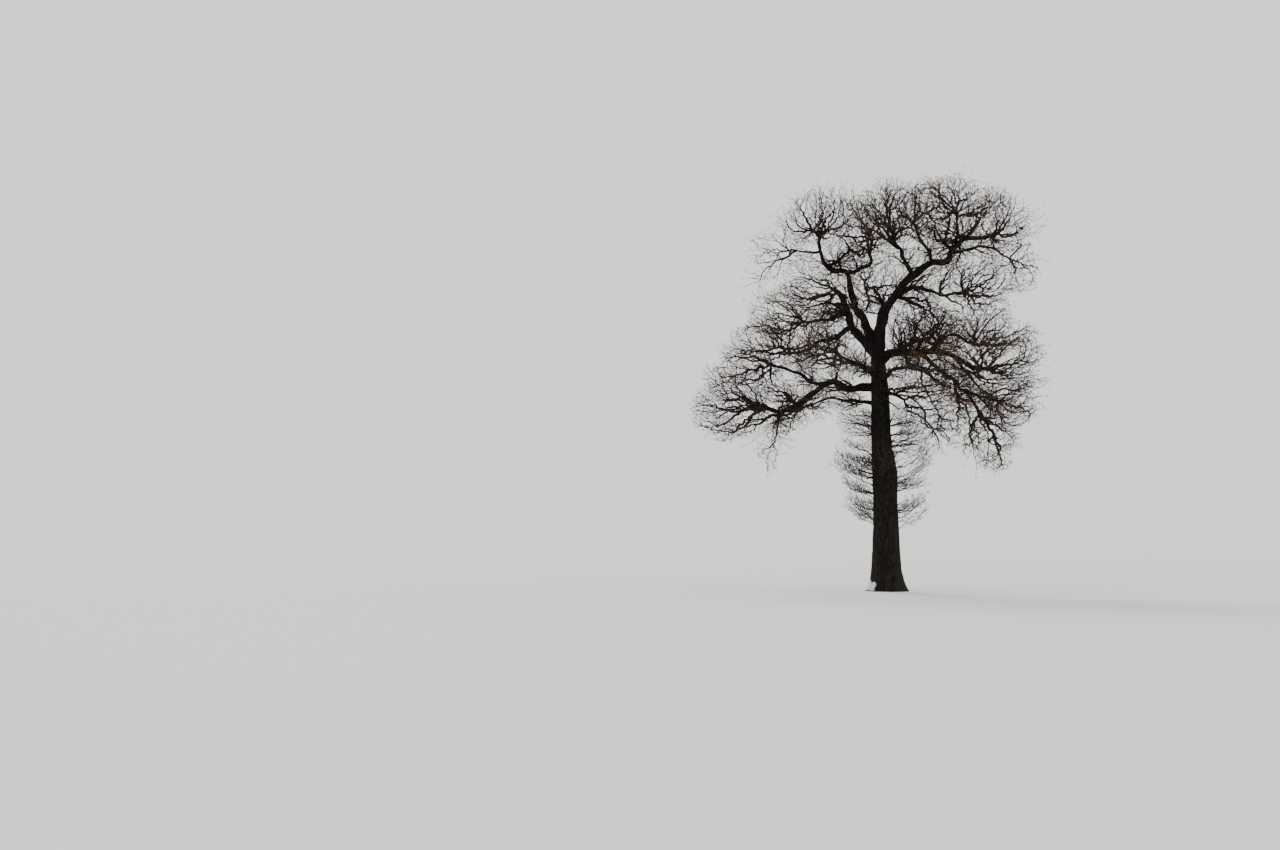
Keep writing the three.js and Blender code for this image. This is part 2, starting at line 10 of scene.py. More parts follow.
import bpy
import numpy as np
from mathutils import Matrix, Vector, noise

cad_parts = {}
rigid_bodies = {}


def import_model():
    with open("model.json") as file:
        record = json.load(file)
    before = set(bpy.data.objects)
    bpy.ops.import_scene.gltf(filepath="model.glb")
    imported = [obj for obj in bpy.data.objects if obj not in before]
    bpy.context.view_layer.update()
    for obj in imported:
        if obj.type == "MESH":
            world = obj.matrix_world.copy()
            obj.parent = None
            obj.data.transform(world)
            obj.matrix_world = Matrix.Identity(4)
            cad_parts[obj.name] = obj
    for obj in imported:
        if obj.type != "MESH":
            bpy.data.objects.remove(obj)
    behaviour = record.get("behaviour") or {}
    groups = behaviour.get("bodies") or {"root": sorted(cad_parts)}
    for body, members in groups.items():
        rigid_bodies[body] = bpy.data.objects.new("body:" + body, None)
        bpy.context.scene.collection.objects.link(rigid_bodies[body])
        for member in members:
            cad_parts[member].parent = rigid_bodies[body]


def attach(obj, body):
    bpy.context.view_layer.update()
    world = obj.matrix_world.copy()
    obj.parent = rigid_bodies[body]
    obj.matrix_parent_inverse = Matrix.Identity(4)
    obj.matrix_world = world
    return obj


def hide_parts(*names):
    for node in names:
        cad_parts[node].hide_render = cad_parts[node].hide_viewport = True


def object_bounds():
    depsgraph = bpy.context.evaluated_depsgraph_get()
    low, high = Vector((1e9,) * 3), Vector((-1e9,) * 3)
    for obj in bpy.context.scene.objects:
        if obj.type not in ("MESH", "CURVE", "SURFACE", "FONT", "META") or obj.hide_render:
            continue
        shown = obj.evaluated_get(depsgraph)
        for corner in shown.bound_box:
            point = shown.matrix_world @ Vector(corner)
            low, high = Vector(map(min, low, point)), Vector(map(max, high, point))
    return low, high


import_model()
solid_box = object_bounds()
bpy.ops.object.select_all(action="DESELECT")


# Trunk. One stem of old oak, a metre thick, that leans a little to the left and flares into
# six buttresses at the ground. It is drawn out ring by ring, and each ring is then given the
# width that the flare and the burr on its right side ask for.
TRUNK_HEIGHTS = [0, 1.2, 3.2, 4.8, 6.2, 8.0, 9.4, 10.3]
TRUNK_LEAN = [0, -0.02, 0, -0.06, -0.12, -0.13, -0.19, -0.28]
TRUNK_RADII = [0.62, 0.555, 0.475, 0.44, 0.39, 0.35, 0.28, 0.24]
# It ends in a dome of this height, drawn in at its top to this share of its width.
TRUNK_DOME, DOME_SHARE = 0.35, 0.3
TRUNK_SIDES = 72
TRUNK_RING_SPACING = 0.1
# The form goes on this far below the ground, so that its foot can be cut flat in the end.
BELOW_GROUND = 0.2
FLARE_OUT, FLARE_LOBES, FLARE_DEPTH, FLARE_HEIGHT, FLARE_TURN = 0.24, 6, 0.3, 0.36, 0.5
BURR_HEIGHT, BURR_SPREAD, BURR_OUT = 4.6, 0.7, 0.1
AWAY_FROM_BURR = math.pi / 2


def trunk_centre(height):
    height = np.asarray(height, float)
    lean = np.interp(height, TRUNK_HEIGHTS, TRUNK_LEAN)
    return np.stack([lean, np.zeros_like(lean), height], -1)


def trunk_radius(height):
    return np.interp(height, TRUNK_HEIGHTS, TRUNK_RADII)


def round_trunk(points):
    """Compass angles of points round the trunk, and how far they are from its middle."""
    out = points - trunk_centre(points[:, 2])
    return np.arctan2(out[:, 1], out[:, 0]), np.hypot(out[:, 0], out[:, 1])


def bark_radius(height, angle):
    """Radius of the trunk at a height and a compass angle, with flare and burr."""
    height = np.maximum(height, 0)
    lobe = 1 - FLARE_DEPTH * (0.5 - 0.5 * np.cos(FLARE_LOBES * angle + FLARE_TURN))
    flare = FLARE_OUT * lobe * np.exp(-height / FLARE_HEIGHT)
    off = (height - BURR_HEIGHT) / BURR_SPREAD
    burr = BURR_OUT * np.exp(-off * off) * np.maximum(np.cos(angle), 0)
    return trunk_radius(height) + flare + burr


def vectors(items, field):
    """The vectors that Blender keeps in a field of its items, as rows."""
    flat = np.empty(len(items) * 3)
    items.foreach_get(field, flat)
    return flat.reshape(-1, 3)


def coordinates(mesh):
    return vectors(mesh.vertices, "co")


def new_object(name, data):
    made = bpy.data.objects.new(name, data)
    bpy.context.collection.objects.link(made)
    return made


def select_only(*objects):
    bpy.ops.object.select_all(action="DESELECT")
    for chosen in objects:
        chosen.select_set(True)
    bpy.context.view_layer.objects.active = objects[0]


@contextlib.contextmanager
def editing():
    """Edit mode on the selected piece."""
    bpy.ops.object.mode_set(mode="EDIT")
    yield
    bpy.ops.object.mode_set(mode="OBJECT")


def draw_trunk():
    top = TRUNK_HEIGHTS[-1]
    straight = top - TRUNK_DOME + BELOW_GROUND
    rings = round(straight / TRUNK_RING_SPACING)
    bpy.ops.mesh.primitive_circle_add(
        vertices=TRUNK_SIDES, radius=1, fill_type="NGON", location=(0, 0, -BELOW_GROUND)
    )
    form = bpy.context.object
    bpy.ops.object.transform_apply(location=True, rotation=False, scale=False)
    with editing():
        for rise in [straight / rings] * rings + [TRUNK_DOME]:
            bpy.ops.mesh.extrude_region_move(TRANSFORM_OT_translate={"value": (0, 0, rise)})
        bpy.ops.transform.resize(value=(DOME_SHARE, DOME_SHARE, 1), center_override=(0, 0, top))
    corners = coordinates(form.data)
    level = np.hypot(corners[:, 0], corners[:, 1])
    angle = np.arctan2(corners[:, 1], corners[:, 0])
    radius = level * bark_radius(corners[:, 2], angle)
    shaped = trunk_centre(corners[:, 2])
    shaped[:, 0] += radius * np.cos(angle)
    shaped[:, 1] += radius * np.sin(angle)
    form.data.vertices.foreach_set("co", shaped.ravel())
    return form


# Limbs and boughs. Each is one tapering, crooked limb with a swollen collar where it leaves
# its parent. on: what it grows from. at: height of its foot on the trunk, or its share of
# the way along another limb. thick: radius at foot and tip. course: its bends and its tip.
# twigs: the mass that a second branch belongs to.
Limb = namedtuple("Limb", "on at thick course twigs", defaults=[None])
LIMBS = {
    "limb_left": Limb("trunk", 9.35, [0.21, 0.13], [
        [-0.8, -0.25, 10.2], [-1.25, -0.45, 10.6], [-1.35, -0.6, 11.15], [-1.55, -0.75, 11.85],
    ]),
    "limb_middle": Limb("trunk", 9.5, [0.21, 0.07], [
        [-0.7, 0.35, 10.85], [-1.05, 0.5, 11.6], [-1.35, 0.3, 12.85], [-1.9, 0.1, 13.05],
        [-2.3, 0, 13.45], [-2.45, 0, 14],
    ]),
    "limb_right": Limb("trunk", 9.5, [0.235, 0.075], [
        [0.05, -0.1, 11.05], [0.5, -0.3, 11.75], [1.05, -0.4, 12.45], [1.8, -0.3, 12.95],
        [2.55, -0.1, 13.2], [2.8, 0, 13.6], [3.4, 0.2, 14.1], [4.15, 0.4, 14.2],
    ]),
    "bough_low_left": Limb("trunk", 8.15, [0.165, 0.09], [
        [-0.85, -0.2, 8.2], [-1.4, -0.4, 8.05], [-1.95, -0.7, 8.4], [-2.65, -0.9, 7.85],
        [-3.4, -1.1, 7.35], [-4.1, -1.2, 7.15], [-4.65, -1.2, 7.3],
    ]),
    "bough_fork_left": Limb("bough_low_left", 0.43, [0.095, 0.055], [
        [-2.7, -0.5, 8.3], [-3.2, -0.3, 8.65], [-3.8, -0.1, 8.95], [-4.35, 0, 9.15],
    ]),
    "bough_thin_left": Limb("trunk", 7.5, [0.085, 0.045], [
        [-0.85, 0.5, 7.6], [-1.45, 0.9, 7.8], [-2.25, 1.4, 7.9], [-3.15, 1.8, 7.65],
    ]),
    "bough_shelf_left": Limb("limb_left", 0.5, [0.11, 0.06], [
        [-1.75, -0.2, 10.3], [-2.4, 0.2, 10.15], [-3.1, 0.6, 9.85], [-3.85, 0.9, 9.75],
    ]),
    "bough_ray_left": Limb("limb_left", 0.75, [0.085, 0.055], [
        [-1.9, -0.9, 10.9], [-2.5, -1.4, 10.7], [-3, -1.8, 10.6],
    ]),
    "bough_hanging": Limb("bough_low_left", 0.86, [0.05, 0.035], [
        [-4.15, -1.3, 6.55], [-4.25, -1.4, 6.05],
    ]),
    "bough_far_left": Limb("limb_middle", 0.97, [0.05, 0.04], [
        [-3.05, -0.4, 13.75], [-3.6, -0.7, 13.8],
    ]),
    "bough_top_middle": Limb("limb_middle", 0.5, [0.1, 0.055], [
        [-0.85, 0.8, 13.25], [-0.45, 1.2, 13.6], [-0.5, 1.5, 14.25],
    ]),
    "bough_top_centre": Limb("limb_right", 0.42, [0.1, 0.055], [
        [0.9, -0.9, 12.95], [0.85, -1.4, 13.4], [0.5, -1.8, 13.7],
    ]),
    "bough_straight": Limb("limb_right", 0.54, [0.09, 0.055], [[1.85, 0.3, 13.85], [1.5, 0.8, 14.7]]),
    "bough_top_right": Limb("limb_right", 0.8, [0.08, 0.05], [[3, -0.4, 14.3], [3, -0.7, 14.8]]),
    "bough_far_right": Limb("limb_right", 0.73, [0.065, 0.045], [
        [3.5, -0.5, 13.55], [4.2, -1, 13.45], [4.7, -1.3, 13.05],
    ]),
    "bough_right_middle": Limb("limb_right", 0.3, [0.1, 0.055], [
        [1.5, -0.7, 12.05], [2.15, -1.1, 11.65], [2.95, -1.4, 11.6],
    ]),
    "bough_centre": Limb("limb_right", 0.15, [0.085, 0.05], [
        [0, 0.4, 11.8], [-0.3, 0.9, 12.35], [-0.55, 1.5, 12.6],
    ]),
    "bough_right_long": Limb("trunk", 9.4, [0.175, 0.08], [
        [0.55, -0.3, 9.5], [1.25, -0.8, 9.4], [2.15, -1.3, 9.3], [2.85, -1.7, 8.95],
        [3.4, -1.9, 8.55],
    ]),
    "bough_drooping": Limb("bough_right_long", 0.44, [0.095, 0.055], [
        [2, -1.6, 8.7], [2.6, -2.2, 8.05], [3.1, -2.7, 7.45], [3.5, -3, 6.75],
    ]),
    "bough_low_right": Limb("bough_right_long", 0.76, [0.07, 0.045], [
        [3.3, -1.2, 8.35], [4, -0.7, 7.7],
    ]),
    "bough_arch": Limb("bough_right_long", 0.52, [0.085, 0.055], [
        [2.25, -0.6, 9.85], [2.85, 0, 10.2], [3.4, 0.6, 9.95],
    ]),
    "bough_back_right": Limb("trunk", 9.1, [0.11, 0.06], [[0.7, 1.2, 9.9], [1.5, 2.3, 10.4]]),
    "bough_front_left": Limb("trunk", 8.6, [0.11, 0.06], [[-0.8, -1.4, 8.8], [-1.6, -2.6, 9.05]]),
    "bough_front_right": Limb("trunk", 8.5, [0.11, 0.06], [[0.5, -1.4, 8.65], [1.2, -2.5, 8.5]]),
    "bough_back_left": Limb("trunk", 8.8, [0.12, 0.06], [[-0.95, 1.5, 9.3], [-1.6, 2.8, 9.65]]),
}
TAPER = 0.8
COLLAR_OUT, COLLAR_FADE = 0.35, 1.5
# Crooks: how far a limb wanders off its course and how often it turns in a metre, and how
# knobbly it is. The seed keeps them the same in each run.
CROOK_SEED = 1
noise.seed_set(CROOK_SEED)
CROOK, CROOKS_PER_METRE = 0.13, 1.7
KINK, KINKS_PER_METRE = 0.12, 4.2
KNOBS, KNOBS_PER_METRE = 0.3, 2.6
# Lengths of a course that its whole length is summed over.
COURSE_LENGTHS = 200
LIMB_RING_SPACING = 0.08
LIMB_CORNERS = 2


def along_course(knots, shares):
    """Points at shares of the way along a smooth course through the knots."""
    padded = np.vstack([2 * knots[0] - knots[1], knots, 2 * knots[-1] - knots[-2]])
    way = np.asarray(shares, float) * (len(knots) - 1)
    start = np.clip(way.astype(int), 0, len(knots) - 2)
    t = (way - start)[..., None]
    before, here, after, beyond = (padded[start + step] for step in range(4))
    bend = 2 * before - 5 * here + 4 * after - beyond
    twist = 3 * (here - after) + beyond - before
    return here + 0.5 * t * (after - before + t * (bend + t * twist))


@functools.cache
def limb_knots(name):
    """Foot, bends and tip of a limb."""
    limb = LIMBS[name]
    foot = trunk_centre(limb.at) if limb.on == "trunk" else limb_points(limb.on, limb.at)
    return np.vstack([foot, limb.course])


def wander(points, turns_per_metre):
    """Vectors that wander through space, one for each point."""
    turns = [noise.noise_vector(point * turns_per_metre) for point in points.reshape(-1, 3)]
    return np.reshape(turns, points.shape)


def limb_points(name, shares):
    """Points at shares of the way along a limb, with its crooks."""
    points = along_course(limb_knots(name), shares)
    crooks = CROOK * wander(points, CROOKS_PER_METRE)
    if name in BRANCHES:
        crooks += KINK * wander(points, KINKS_PER_METRE)
    fade = np.sin(math.pi * np.clip(shares, 0, 1))[..., None] ** 0.5
    return points + fade * crooks


def limb_length(name):
    points = limb_points(name, np.linspace(0, 1, COURSE_LENGTHS + 1))
    return np.linalg.norm(np.diff(points, axis=0), axis=1).sum()


def limb_radius(name, shares):
    """Radius of a limb at shares of its length: its taper, and the collar at its foot."""
    limb = LIMBS[name]
    foot, tip = limb.thick
    parent = trunk_radius(limb.at) if limb.on == "trunk" else limb_radius(limb.on, limb.at)
    shares = np.asarray(shares, float)
    collar = COLLAR_OUT * np.exp(-shares * limb_length(name) / (COLLAR_FADE * parent))
    return (foot + (tip - foot) * shares**TAPER) * (1 + collar)


def stacked(rows):
    """Rows of arrays, put together column by column."""
    return [np.concatenate(column) for column in zip(*rows)]


def limb_stations(name, spacing):
    """Places, radii and headings along a limb, a little less than the spacing apart."""
    shares = np.linspace(0, 1, math.ceil(limb_length(name) / spacing) + 1)
    places = limb_points(name, shares)
    headings = np.gradient(places, axis=0)
    headings /= np.linalg.norm(headings, axis=1)[:, None]
    knobs = 1 + KNOBS * np.array([noise.noise(place * KNOBS_PER_METRE) for place in places])
    return places, limb_radius(name, shares) * knobs, headings


def draw_limbs(names):
    """All these limbs as one mesh of round tapering rods, drawn along their courses."""
    lines = bpy.data.curves.new("limbs", "CURVE")
    lines.dimensions = "3D"
    lines.bevel_depth = 1
    lines.bevel_resolution = LIMB_CORNERS
    lines.use_fill_caps = True
    for name in names:
        places, radii, _ = limb_stations(name, LIMB_RING_SPACING)
        line = lines.splines.new("POLY")
        line.points.add(len(places) - 1)
        line.points.foreach_set("co", np.hstack([places, np.ones((len(places), 1))]).ravel())
        line.points.foreach_set("radius", radii)
    select_only(new_object("limbs", lines))
    bpy.ops.object.convert(target="MESH")
    return bpy.context.object


# Broken stubs. Two dead ends that old breaks have left: one hangs under the left limb, and
# one stands on the low left bough. They are drawn with the limbs, in the same bark.
SOLID_LIMBS = list(LIMBS)
STUBS = {
    "stub_hanging": Limb("limb_left", 0.18, [0.06, 0.035], [
        [-0.62, -0.35, 9.75], [-0.68, -0.42, 9.3],
    ]),
    "stub_low_left": Limb("bough_low_left", 0.4, [0.06, 0.04], [
        [-1.8, -0.55, 8.6], [-1.78, -0.5, 8.78],
    ]),
}
LIMBS.update(STUBS)


# Second branches. The dark crooked wood between boughs and twigs, as thick as an arm or a
# wrist. Each belongs to one of the masses of twigs further down.
BRANCHES = {
    "branch_crown_left": Limb("limb_middle", 1, [0.075, 0.018], [
        [-2.4, 0, 14.6], [-2.25, -0.1, 14.8], [-2.15, -0.2, 15.1], [-1.85, -0.3, 15.5],
        [-1.4, -0.5, 15.8],
    ], "top_left"),
    "branch_inner_left": Limb("limb_middle", 0.73, [0.075, 0.02], [
        [-1.6, 0.2, 13.55], [-1.3, 0.3, 13.85], [-1.5, 0.4, 14.4], [-1.75, 0.5, 14.7],
    ], "top_left"),
    "branch_inner_fork": Limb("branch_inner_left", 0.5, [0.053, 0.016], [
        [-0.75, 0.5, 13.8], [-0.65, 0.6, 14.05], [-1, 0.7, 14.5], [-1.25, 0.8, 14.95],
    ], "top_middle"),
    "branch_top_middle": Limb("bough_top_middle", 0.9, [0.075, 0.018], [
        [-0.3, 1.5, 14.6], [-0.1, 1.6, 15], [0.4, 1.7, 15.3],
    ], "top_middle"),
    "branch_far_left_upper": Limb("branch_crown_left", 0.2, [0.065, 0.028], [
        [-2.75, -0.2, 14.65], [-3.2, -0.4, 14.6], [-3.65, -0.6, 14.7], [-3.75, -0.8, 15.05],
    ], "far_left"),
    "branch_far_left_lower": Limb("bough_far_left", 0.77, [0.052, 0.024], [
        [-3.8, -0.8, 13.4], [-4.15, -1, 13.25], [-4.55, -1.1, 13], [-4.8, -1.2, 12.5],
    ], "far_left"),
    "branch_crest_end": Limb("limb_right", 0.99, [0.075, 0.018], [
        [4.6, 0.5, 14.25], [5.05, 0.6, 14.2], [5.55, 0.7, 14.6], [6, 0.8, 14.85],
    ], "right_crest"),
    "branch_crest_rise": Limb("limb_right", 0.88, [0.068, 0.016], [
        [3.6, 0.4, 14.5], [3.9, 0.6, 14.85], [3.95, 0.7, 15.2], [3.8, 0.8, 15.55],
    ], "right_crest"),
    "branch_crest_back": Limb("limb_right", 0.75, [0.083, 0.018], [
        [2.55, 0.1, 14], [2.3, 0.2, 14.15], [2.2, 0.3, 14.45], [1.9, 0.5, 14.8], [2, 0.6, 15.05],
        [2.35, 0.7, 15.2],
    ], "top_crest"),
    "branch_top_right": Limb("bough_top_right", 0.94, [0.068, 0.016], [
        [3.1, -0.8, 15.05], [3.3, -0.9, 15.3], [3.55, -1, 15.6],
    ], "top_right"),
    "branch_top_centre": Limb("bough_top_centre", 0.92, [0.075, 0.018], [
        [0.65, -1.9, 13.9], [0.95, -2, 14.1], [1.25, -2.1, 14.3], [1.45, -2.2, 14.7],
    ], "top_centre"),
    "branch_top_centre_left": Limb("bough_top_centre", 0.77, [0.06, 0.016], [
        [0.4, -1.6, 13.7], [0.05, -1.7, 13.95], [-0.05, -1.8, 14.4], [0.15, -1.9, 14.8],
    ], "top_centre"),
    "branch_middle_rise": Limb("bough_right_middle", 0.68, [0.068, 0.018], [
        [2.3, -1.1, 12], [2.5, -1.2, 12.4], [2.75, -1.3, 12.55], [3.4, -1.4, 12.8],
    ], "right_middle"),
    "branch_middle_end": Limb("bough_right_middle", 0.99, [0.068, 0.016], [
        [3.3, -1.5, 11.5], [3.75, -1.7, 11.35], [4.2, -1.8, 11.55], [4.6, -1.9, 11.65],
    ], "right_middle"),
    "branch_middle_down": Limb("bough_right_middle", 0.81, [0.053, 0.016], [
        [2.9, -1.3, 11.25], [3.1, -1.4, 10.85], [3.45, -1.4, 10.3],
    ], "right_middle"),
    "branch_under_right": Limb("limb_right", 0.25, [0.09, 0.027], [
        [0.95, -0.1, 11.8], [1.55, 0.1, 11.7], [1.95, 0.3, 11.55], [2.05, 0.5, 11.1],
        [2.15, 0.7, 10.65],
    ], "right_back"),
    "branch_long_end": Limb("bough_right_long", 0.99, [0.083, 0.018], [
        [3.95, -2, 8.55], [4.65, -2.1, 8.65], [5.45, -2.2, 8.7],
    ], "right_long"),
    "branch_long_down": Limb("bough_right_long", 0.27, [0.075, 0.016], [
        [1.05, -0.9, 8.95], [1.35, -1.1, 8.6], [1.65, -1.4, 7.9], [2, -1.7, 7], [2.2, -1.8, 6.5],
        [1.85, -1.9, 5.95],
    ], "right_inner"),
    "branch_long_rise": Limb("bough_right_long", 0.4, [0.075, 0.018], [
        [1.5, -0.8, 9.8], [1.9, -0.7, 10.1], [2.15, -0.6, 10.5], [2.05, -0.5, 10.95],
    ], "right_arch"),
    "branch_long_foot": Limb("bough_right_long", 0.24, [0.06, 0.016], [
        [0.75, -0.5, 9.8], [0.65, -0.7, 10.2], [0.8, -0.9, 10.6], [0.85, -1, 10.95],
    ], "right_arch"),
    "branch_long_upright": Limb("bough_right_long", 0.33, [0.06, 0.016], [
        [1.2, -0.5, 9.85], [1.3, -0.3, 10.25], [1.2, -0.1, 10.6], [1.35, 0, 10.9],
    ], "right_arch"),
    "branch_droop_end": Limb("bough_drooping", 0.99, [0.06, 0.016], [
        [3.6, -3.1, 6.3], [3.8, -3.2, 5.65], [3.7, -3.2, 5],
    ], "right_drooping"),
    "branch_droop_out": Limb("bough_drooping", 0.71, [0.07, 0.018], [
        [3.7, -2.4, 7.35], [4.2, -2.2, 7.25], [4.8, -2, 7.35], [5.45, -1.8, 7.6],
    ], "right_low"),
    "branch_droop_back": Limb("bough_drooping", 0.51, [0.07, 0.018], [
        [2.75, -2.1, 7.45], [3.1, -2, 6.95], [3.25, -1.9, 6.35], [3.2, -1.9, 5.75],
    ], "right_drooping"),
    "branch_arch_end": Limb("bough_arch", 0.99, [0.068, 0.016], [
        [4.05, 0.8, 9.9], [4.75, 0.9, 9.95], [5.5, 1, 10.2],
    ], "right_arch"),
    "branch_inner_right": Limb("trunk", 7.96, [0.083, 0.018], [
        [0.55, -0.4, 7.75], [1.05, -0.6, 7.65], [1.4, -0.8, 7.85], [1.95, -1, 8.2],
    ], "right_inner"),
    "branch_low_end": Limb("bough_low_left", 0.99, [0.09, 0.018], [
        [-4.95, -1.3, 7.45], [-5.4, -1.5, 7.6], [-5.95, -1.6, 7.65], [-6.4, -1.7, 7.4],
    ], "left_low"),
    "branch_low_under": Limb("bough_low_left", 0.84, [0.068, 0.016], [
        [-4.55, -0.9, 6.9], [-5.25, -0.8, 6.85], [-5.95, -0.7, 6.6],
    ], "left_low"),
    "branch_low_rise": Limb("bough_low_left", 0.71, [0.068, 0.016], [
        [-3.7, -1, 7.75], [-4.25, -0.8, 8.05], [-4.8, -0.7, 8.3], [-5.5, -0.6, 8.4],
    ], "left_upper"),
    "branch_fork_end": Limb("bough_fork_left", 0.98, [0.068, 0.016], [
        [-4.9, 0.1, 9.45], [-5.4, 0.2, 9.6], [-6.05, 0.3, 9.45],
    ], "left_upper"),
    "branch_thin_end": Limb("bough_thin_left", 0.99, [0.06, 0.016], [
        [-3.55, 2, 7.45], [-4.2, 2.2, 7.15], [-4.7, 2.3, 7],
    ], "left_under"),
    "branch_shelf_end": Limb("bough_shelf_left", 0.98, [0.068, 0.016], [
        [-4.2, 1, 10.1], [-5, 1.2, 10.25], [-5.8, 1.3, 10.45],
    ], "left_shelf"),
    "branch_ray_end": Limb("bough_ray_left", 0.98, [0.068, 0.016], [
        [-3.35, -1.9, 10.7], [-3.95, -2.1, 10.9], [-4.6, -2.3, 11.15],
    ], "left_ray"),
    "branch_left_middle": Limb("limb_left", 0.87, [0.083, 0.016], [
        [-1.95, -1, 11.5], [-2.4, -1.2, 11.4], [-2.9, -1.4, 11.3], [-3.4, -1.6, 11.55],
    ], "left_ray"),
    "branch_left_crest": Limb("limb_left", 0.96, [0.083, 0.016], [
        [-1.95, -0.9, 12.05], [-2.4, -1, 12.25], [-3, -1.1, 12.5], [-3.55, -1.2, 12.65],
    ], "left_crest"),
    "branch_left_back": Limb("limb_left", 0.75, [0.075, 0.016], [
        [-1.75, 0, 11.45], [-2.25, 0.6, 11.4], [-2.85, 1.1, 11.15], [-3.55, 1.5, 11],
    ], "left_shelf"),
}
LIMBS.update(BRANCHES)


# Bark. The trunk and all that grows out of it are one skin: the rods are fused and smoothed,
# and the skin is then cut by long furrows that run with the wood and leave raised plates
# between them, wide and deep on the trunk and fine on the boughs.
ON_TRUNK = [name for name, limb in LIMBS.items() if limb.on == "trunk"]
ON_LIMBS = [name for name in LIMBS if name not in ON_TRUNK]
SKIN_SPACING = 0.016
SKIN_SMOOTHING = 6
MOST_TRIANGLES = 185000
# The bark's pattern runs along the axes of the wood. No point of the skin is as far from its
# axis as THICKEST_WOOD, and each limb starts this far along the pattern from the last one.
AXIS_SPACING = 0.06
THICKEST_WOOD = 1.5
POINTS_AT_ONCE = 4000
PATTERN_SHIFT = 20
PLATE_WIDTH, PLATE_LENGTH = 0.085, 0.5
FURROW_DEPTH = 0.034
# Radius of the trunk where plates and furrows have these sizes, and the powers by which
# they shrink on slimmer limbs.
FULL_RADIUS, WIDTH_POWER, DEPTH_POWER = 0.45, 0.6, 0.9
FURROW_SHARE = 0.3
# How round a plate's edge is, and how high a chip on it may stand.
EDGE_POWER, HIGHEST_CHIP = 0.8, 1.2
CHIP_SIZE, CHIP_LENGTH, CHIP_DEPTH = 0.045, 2, 0.25
# The relief that lies level with the skin before it is carved.
LEVEL_RELIEF = 0.8


def axis_stations():
    """Places, radii, headings and distances along of the axes of all wood."""
    top = TRUNK_HEIGHTS[-1]
    heights = np.arange(-BELOW_GROUND, top, AXIS_SPACING)
    upright = np.tile([0.0, 0, 1], (len(heights), 1))
    radii = bark_radius(heights, AWAY_FROM_BURR)
    rows = [(trunk_centre(heights), radii, upright, heights)]
    for order, name in enumerate(LIMBS):
        places, radii, headings = limb_stations(name, AXIS_SPACING)
        way = np.linspace(0, limb_length(name), len(places))
        rows.append((places, radii, headings, way + PATTERN_SHIFT * (order + 1)))
    return stacked(rows)


STATIONS = axis_stations()


def nearest_station(points):
    """The station that each point's bark grows round, looked for among those about as high."""
    places, radii, _, _ = STATIONS
    order = points[:, 2].argsort()
    nearest = np.empty(len(points), int)
    for start in range(0, len(points), POINTS_AT_ONCE):
        part = order[start : start + POINTS_AT_ONCE]
        some = points[part]
        low = some[0, 2] - THICKEST_WOOD
        high = some[-1, 2] + THICKEST_WOOD
        about = np.flatnonzero((places[:, 2] > low) & (places[:, 2] < high))
        apart = (some**2).sum(1)[:, None] + (places[about] ** 2).sum(1) - 2 * some @ places[about].T
        nearest[part] = about[(np.sqrt(np.maximum(apart, 0)) - radii[about]).argmin(1)]
    return nearest


def noise_at(points):
    return np.array([noise.noise(point) for point in points])


def bark_relief(points):
    """How high the bark stands at each point, 0 in a furrow to 1 on a plate, how deep the
    furrows are there, and the point's place on the bark, counted in plates."""
    places, radii, headings, ways = STATIONS
    nearest = nearest_station(points)
    out = points - places[nearest]
    heading = headings[nearest]
    ahead = (out * heading).sum(1)[:, None]
    out -= ahead * heading
    out /= np.linalg.norm(out, axis=1)[:, None] + 1e-9
    radius = radii[nearest][:, None]
    slimness = np.minimum(radius / FULL_RADIUS, 1)
    width = PLATE_WIDTH * slimness**WIDTH_POWER
    length = PLATE_LENGTH * slimness**WIDTH_POWER
    round_it = out * FULL_RADIUS * slimness
    way = ways[nearest][:, None] + ahead
    bark_place = round_it / width + heading * way / length
    plates = np.abs(noise_at(bark_place))
    chips = noise_at((round_it + heading * way / CHIP_LENGTH) / (CHIP_SIZE * slimness**WIDTH_POWER))
    relief = np.clip(plates / FURROW_SHARE, 0, 1) ** EDGE_POWER
    relief = np.clip(relief * (1 + CHIP_DEPTH * chips), 0, HIGHEST_CHIP)
    return relief, (FURROW_DEPTH * slimness**DEPTH_POWER).ravel(), bark_place


def apply_modifier(piece, kind, **settings):
    select_only(piece)
    modifier = piece.modifiers.new(kind.lower(), kind)
    for name, value in settings.items():
        setattr(modifier, name, value)
    bpy.ops.object.modifier_apply(modifier=modifier.name)


def triangles_in(piece):
    piece.data.calc_loop_triangles()
    return len(piece.data.loop_triangles)


def bark_skin(name, forms):
    """Fuses the forms into one skin with the bark's relief."""
    select_only(*forms)
    if len(forms) > 1:
        bpy.ops.object.join()
    skin = forms[0]
    skin.name = name
    skin.data.name = name
    apply_modifier(skin, "REMESH", mode="VOXEL", voxel_size=SKIN_SPACING)
    apply_modifier(skin, "SMOOTH", factor=0.5, iterations=SKIN_SMOOTHING)
    points = coordinates(skin.data)
    relief, depth, _ = bark_relief(points)
    outwards = vectors(skin.data.vertex_normals, "vector")
    carved = points + outwards * (depth * (relief - LEVEL_RELIEF))[:, None]
    skin.data.vertices.foreach_set("co", carved.ravel())
    skin.data.update()
    count = triangles_in(skin)
    if count > MOST_TRIANGLES:
        apply_modifier(skin, "DECIMATE", ratio=MOST_TRIANGLES / count)
    return skin


def cut_flat_at_ground(piece):
    select_only(piece)
    with editing():
        bpy.ops.mesh.select_all(action="SELECT")
        bpy.ops.mesh.bisect(
            plane_co=(0, 0, 0), plane_no=(0, 0, 1), use_fill=True, clear_inner=True
        )


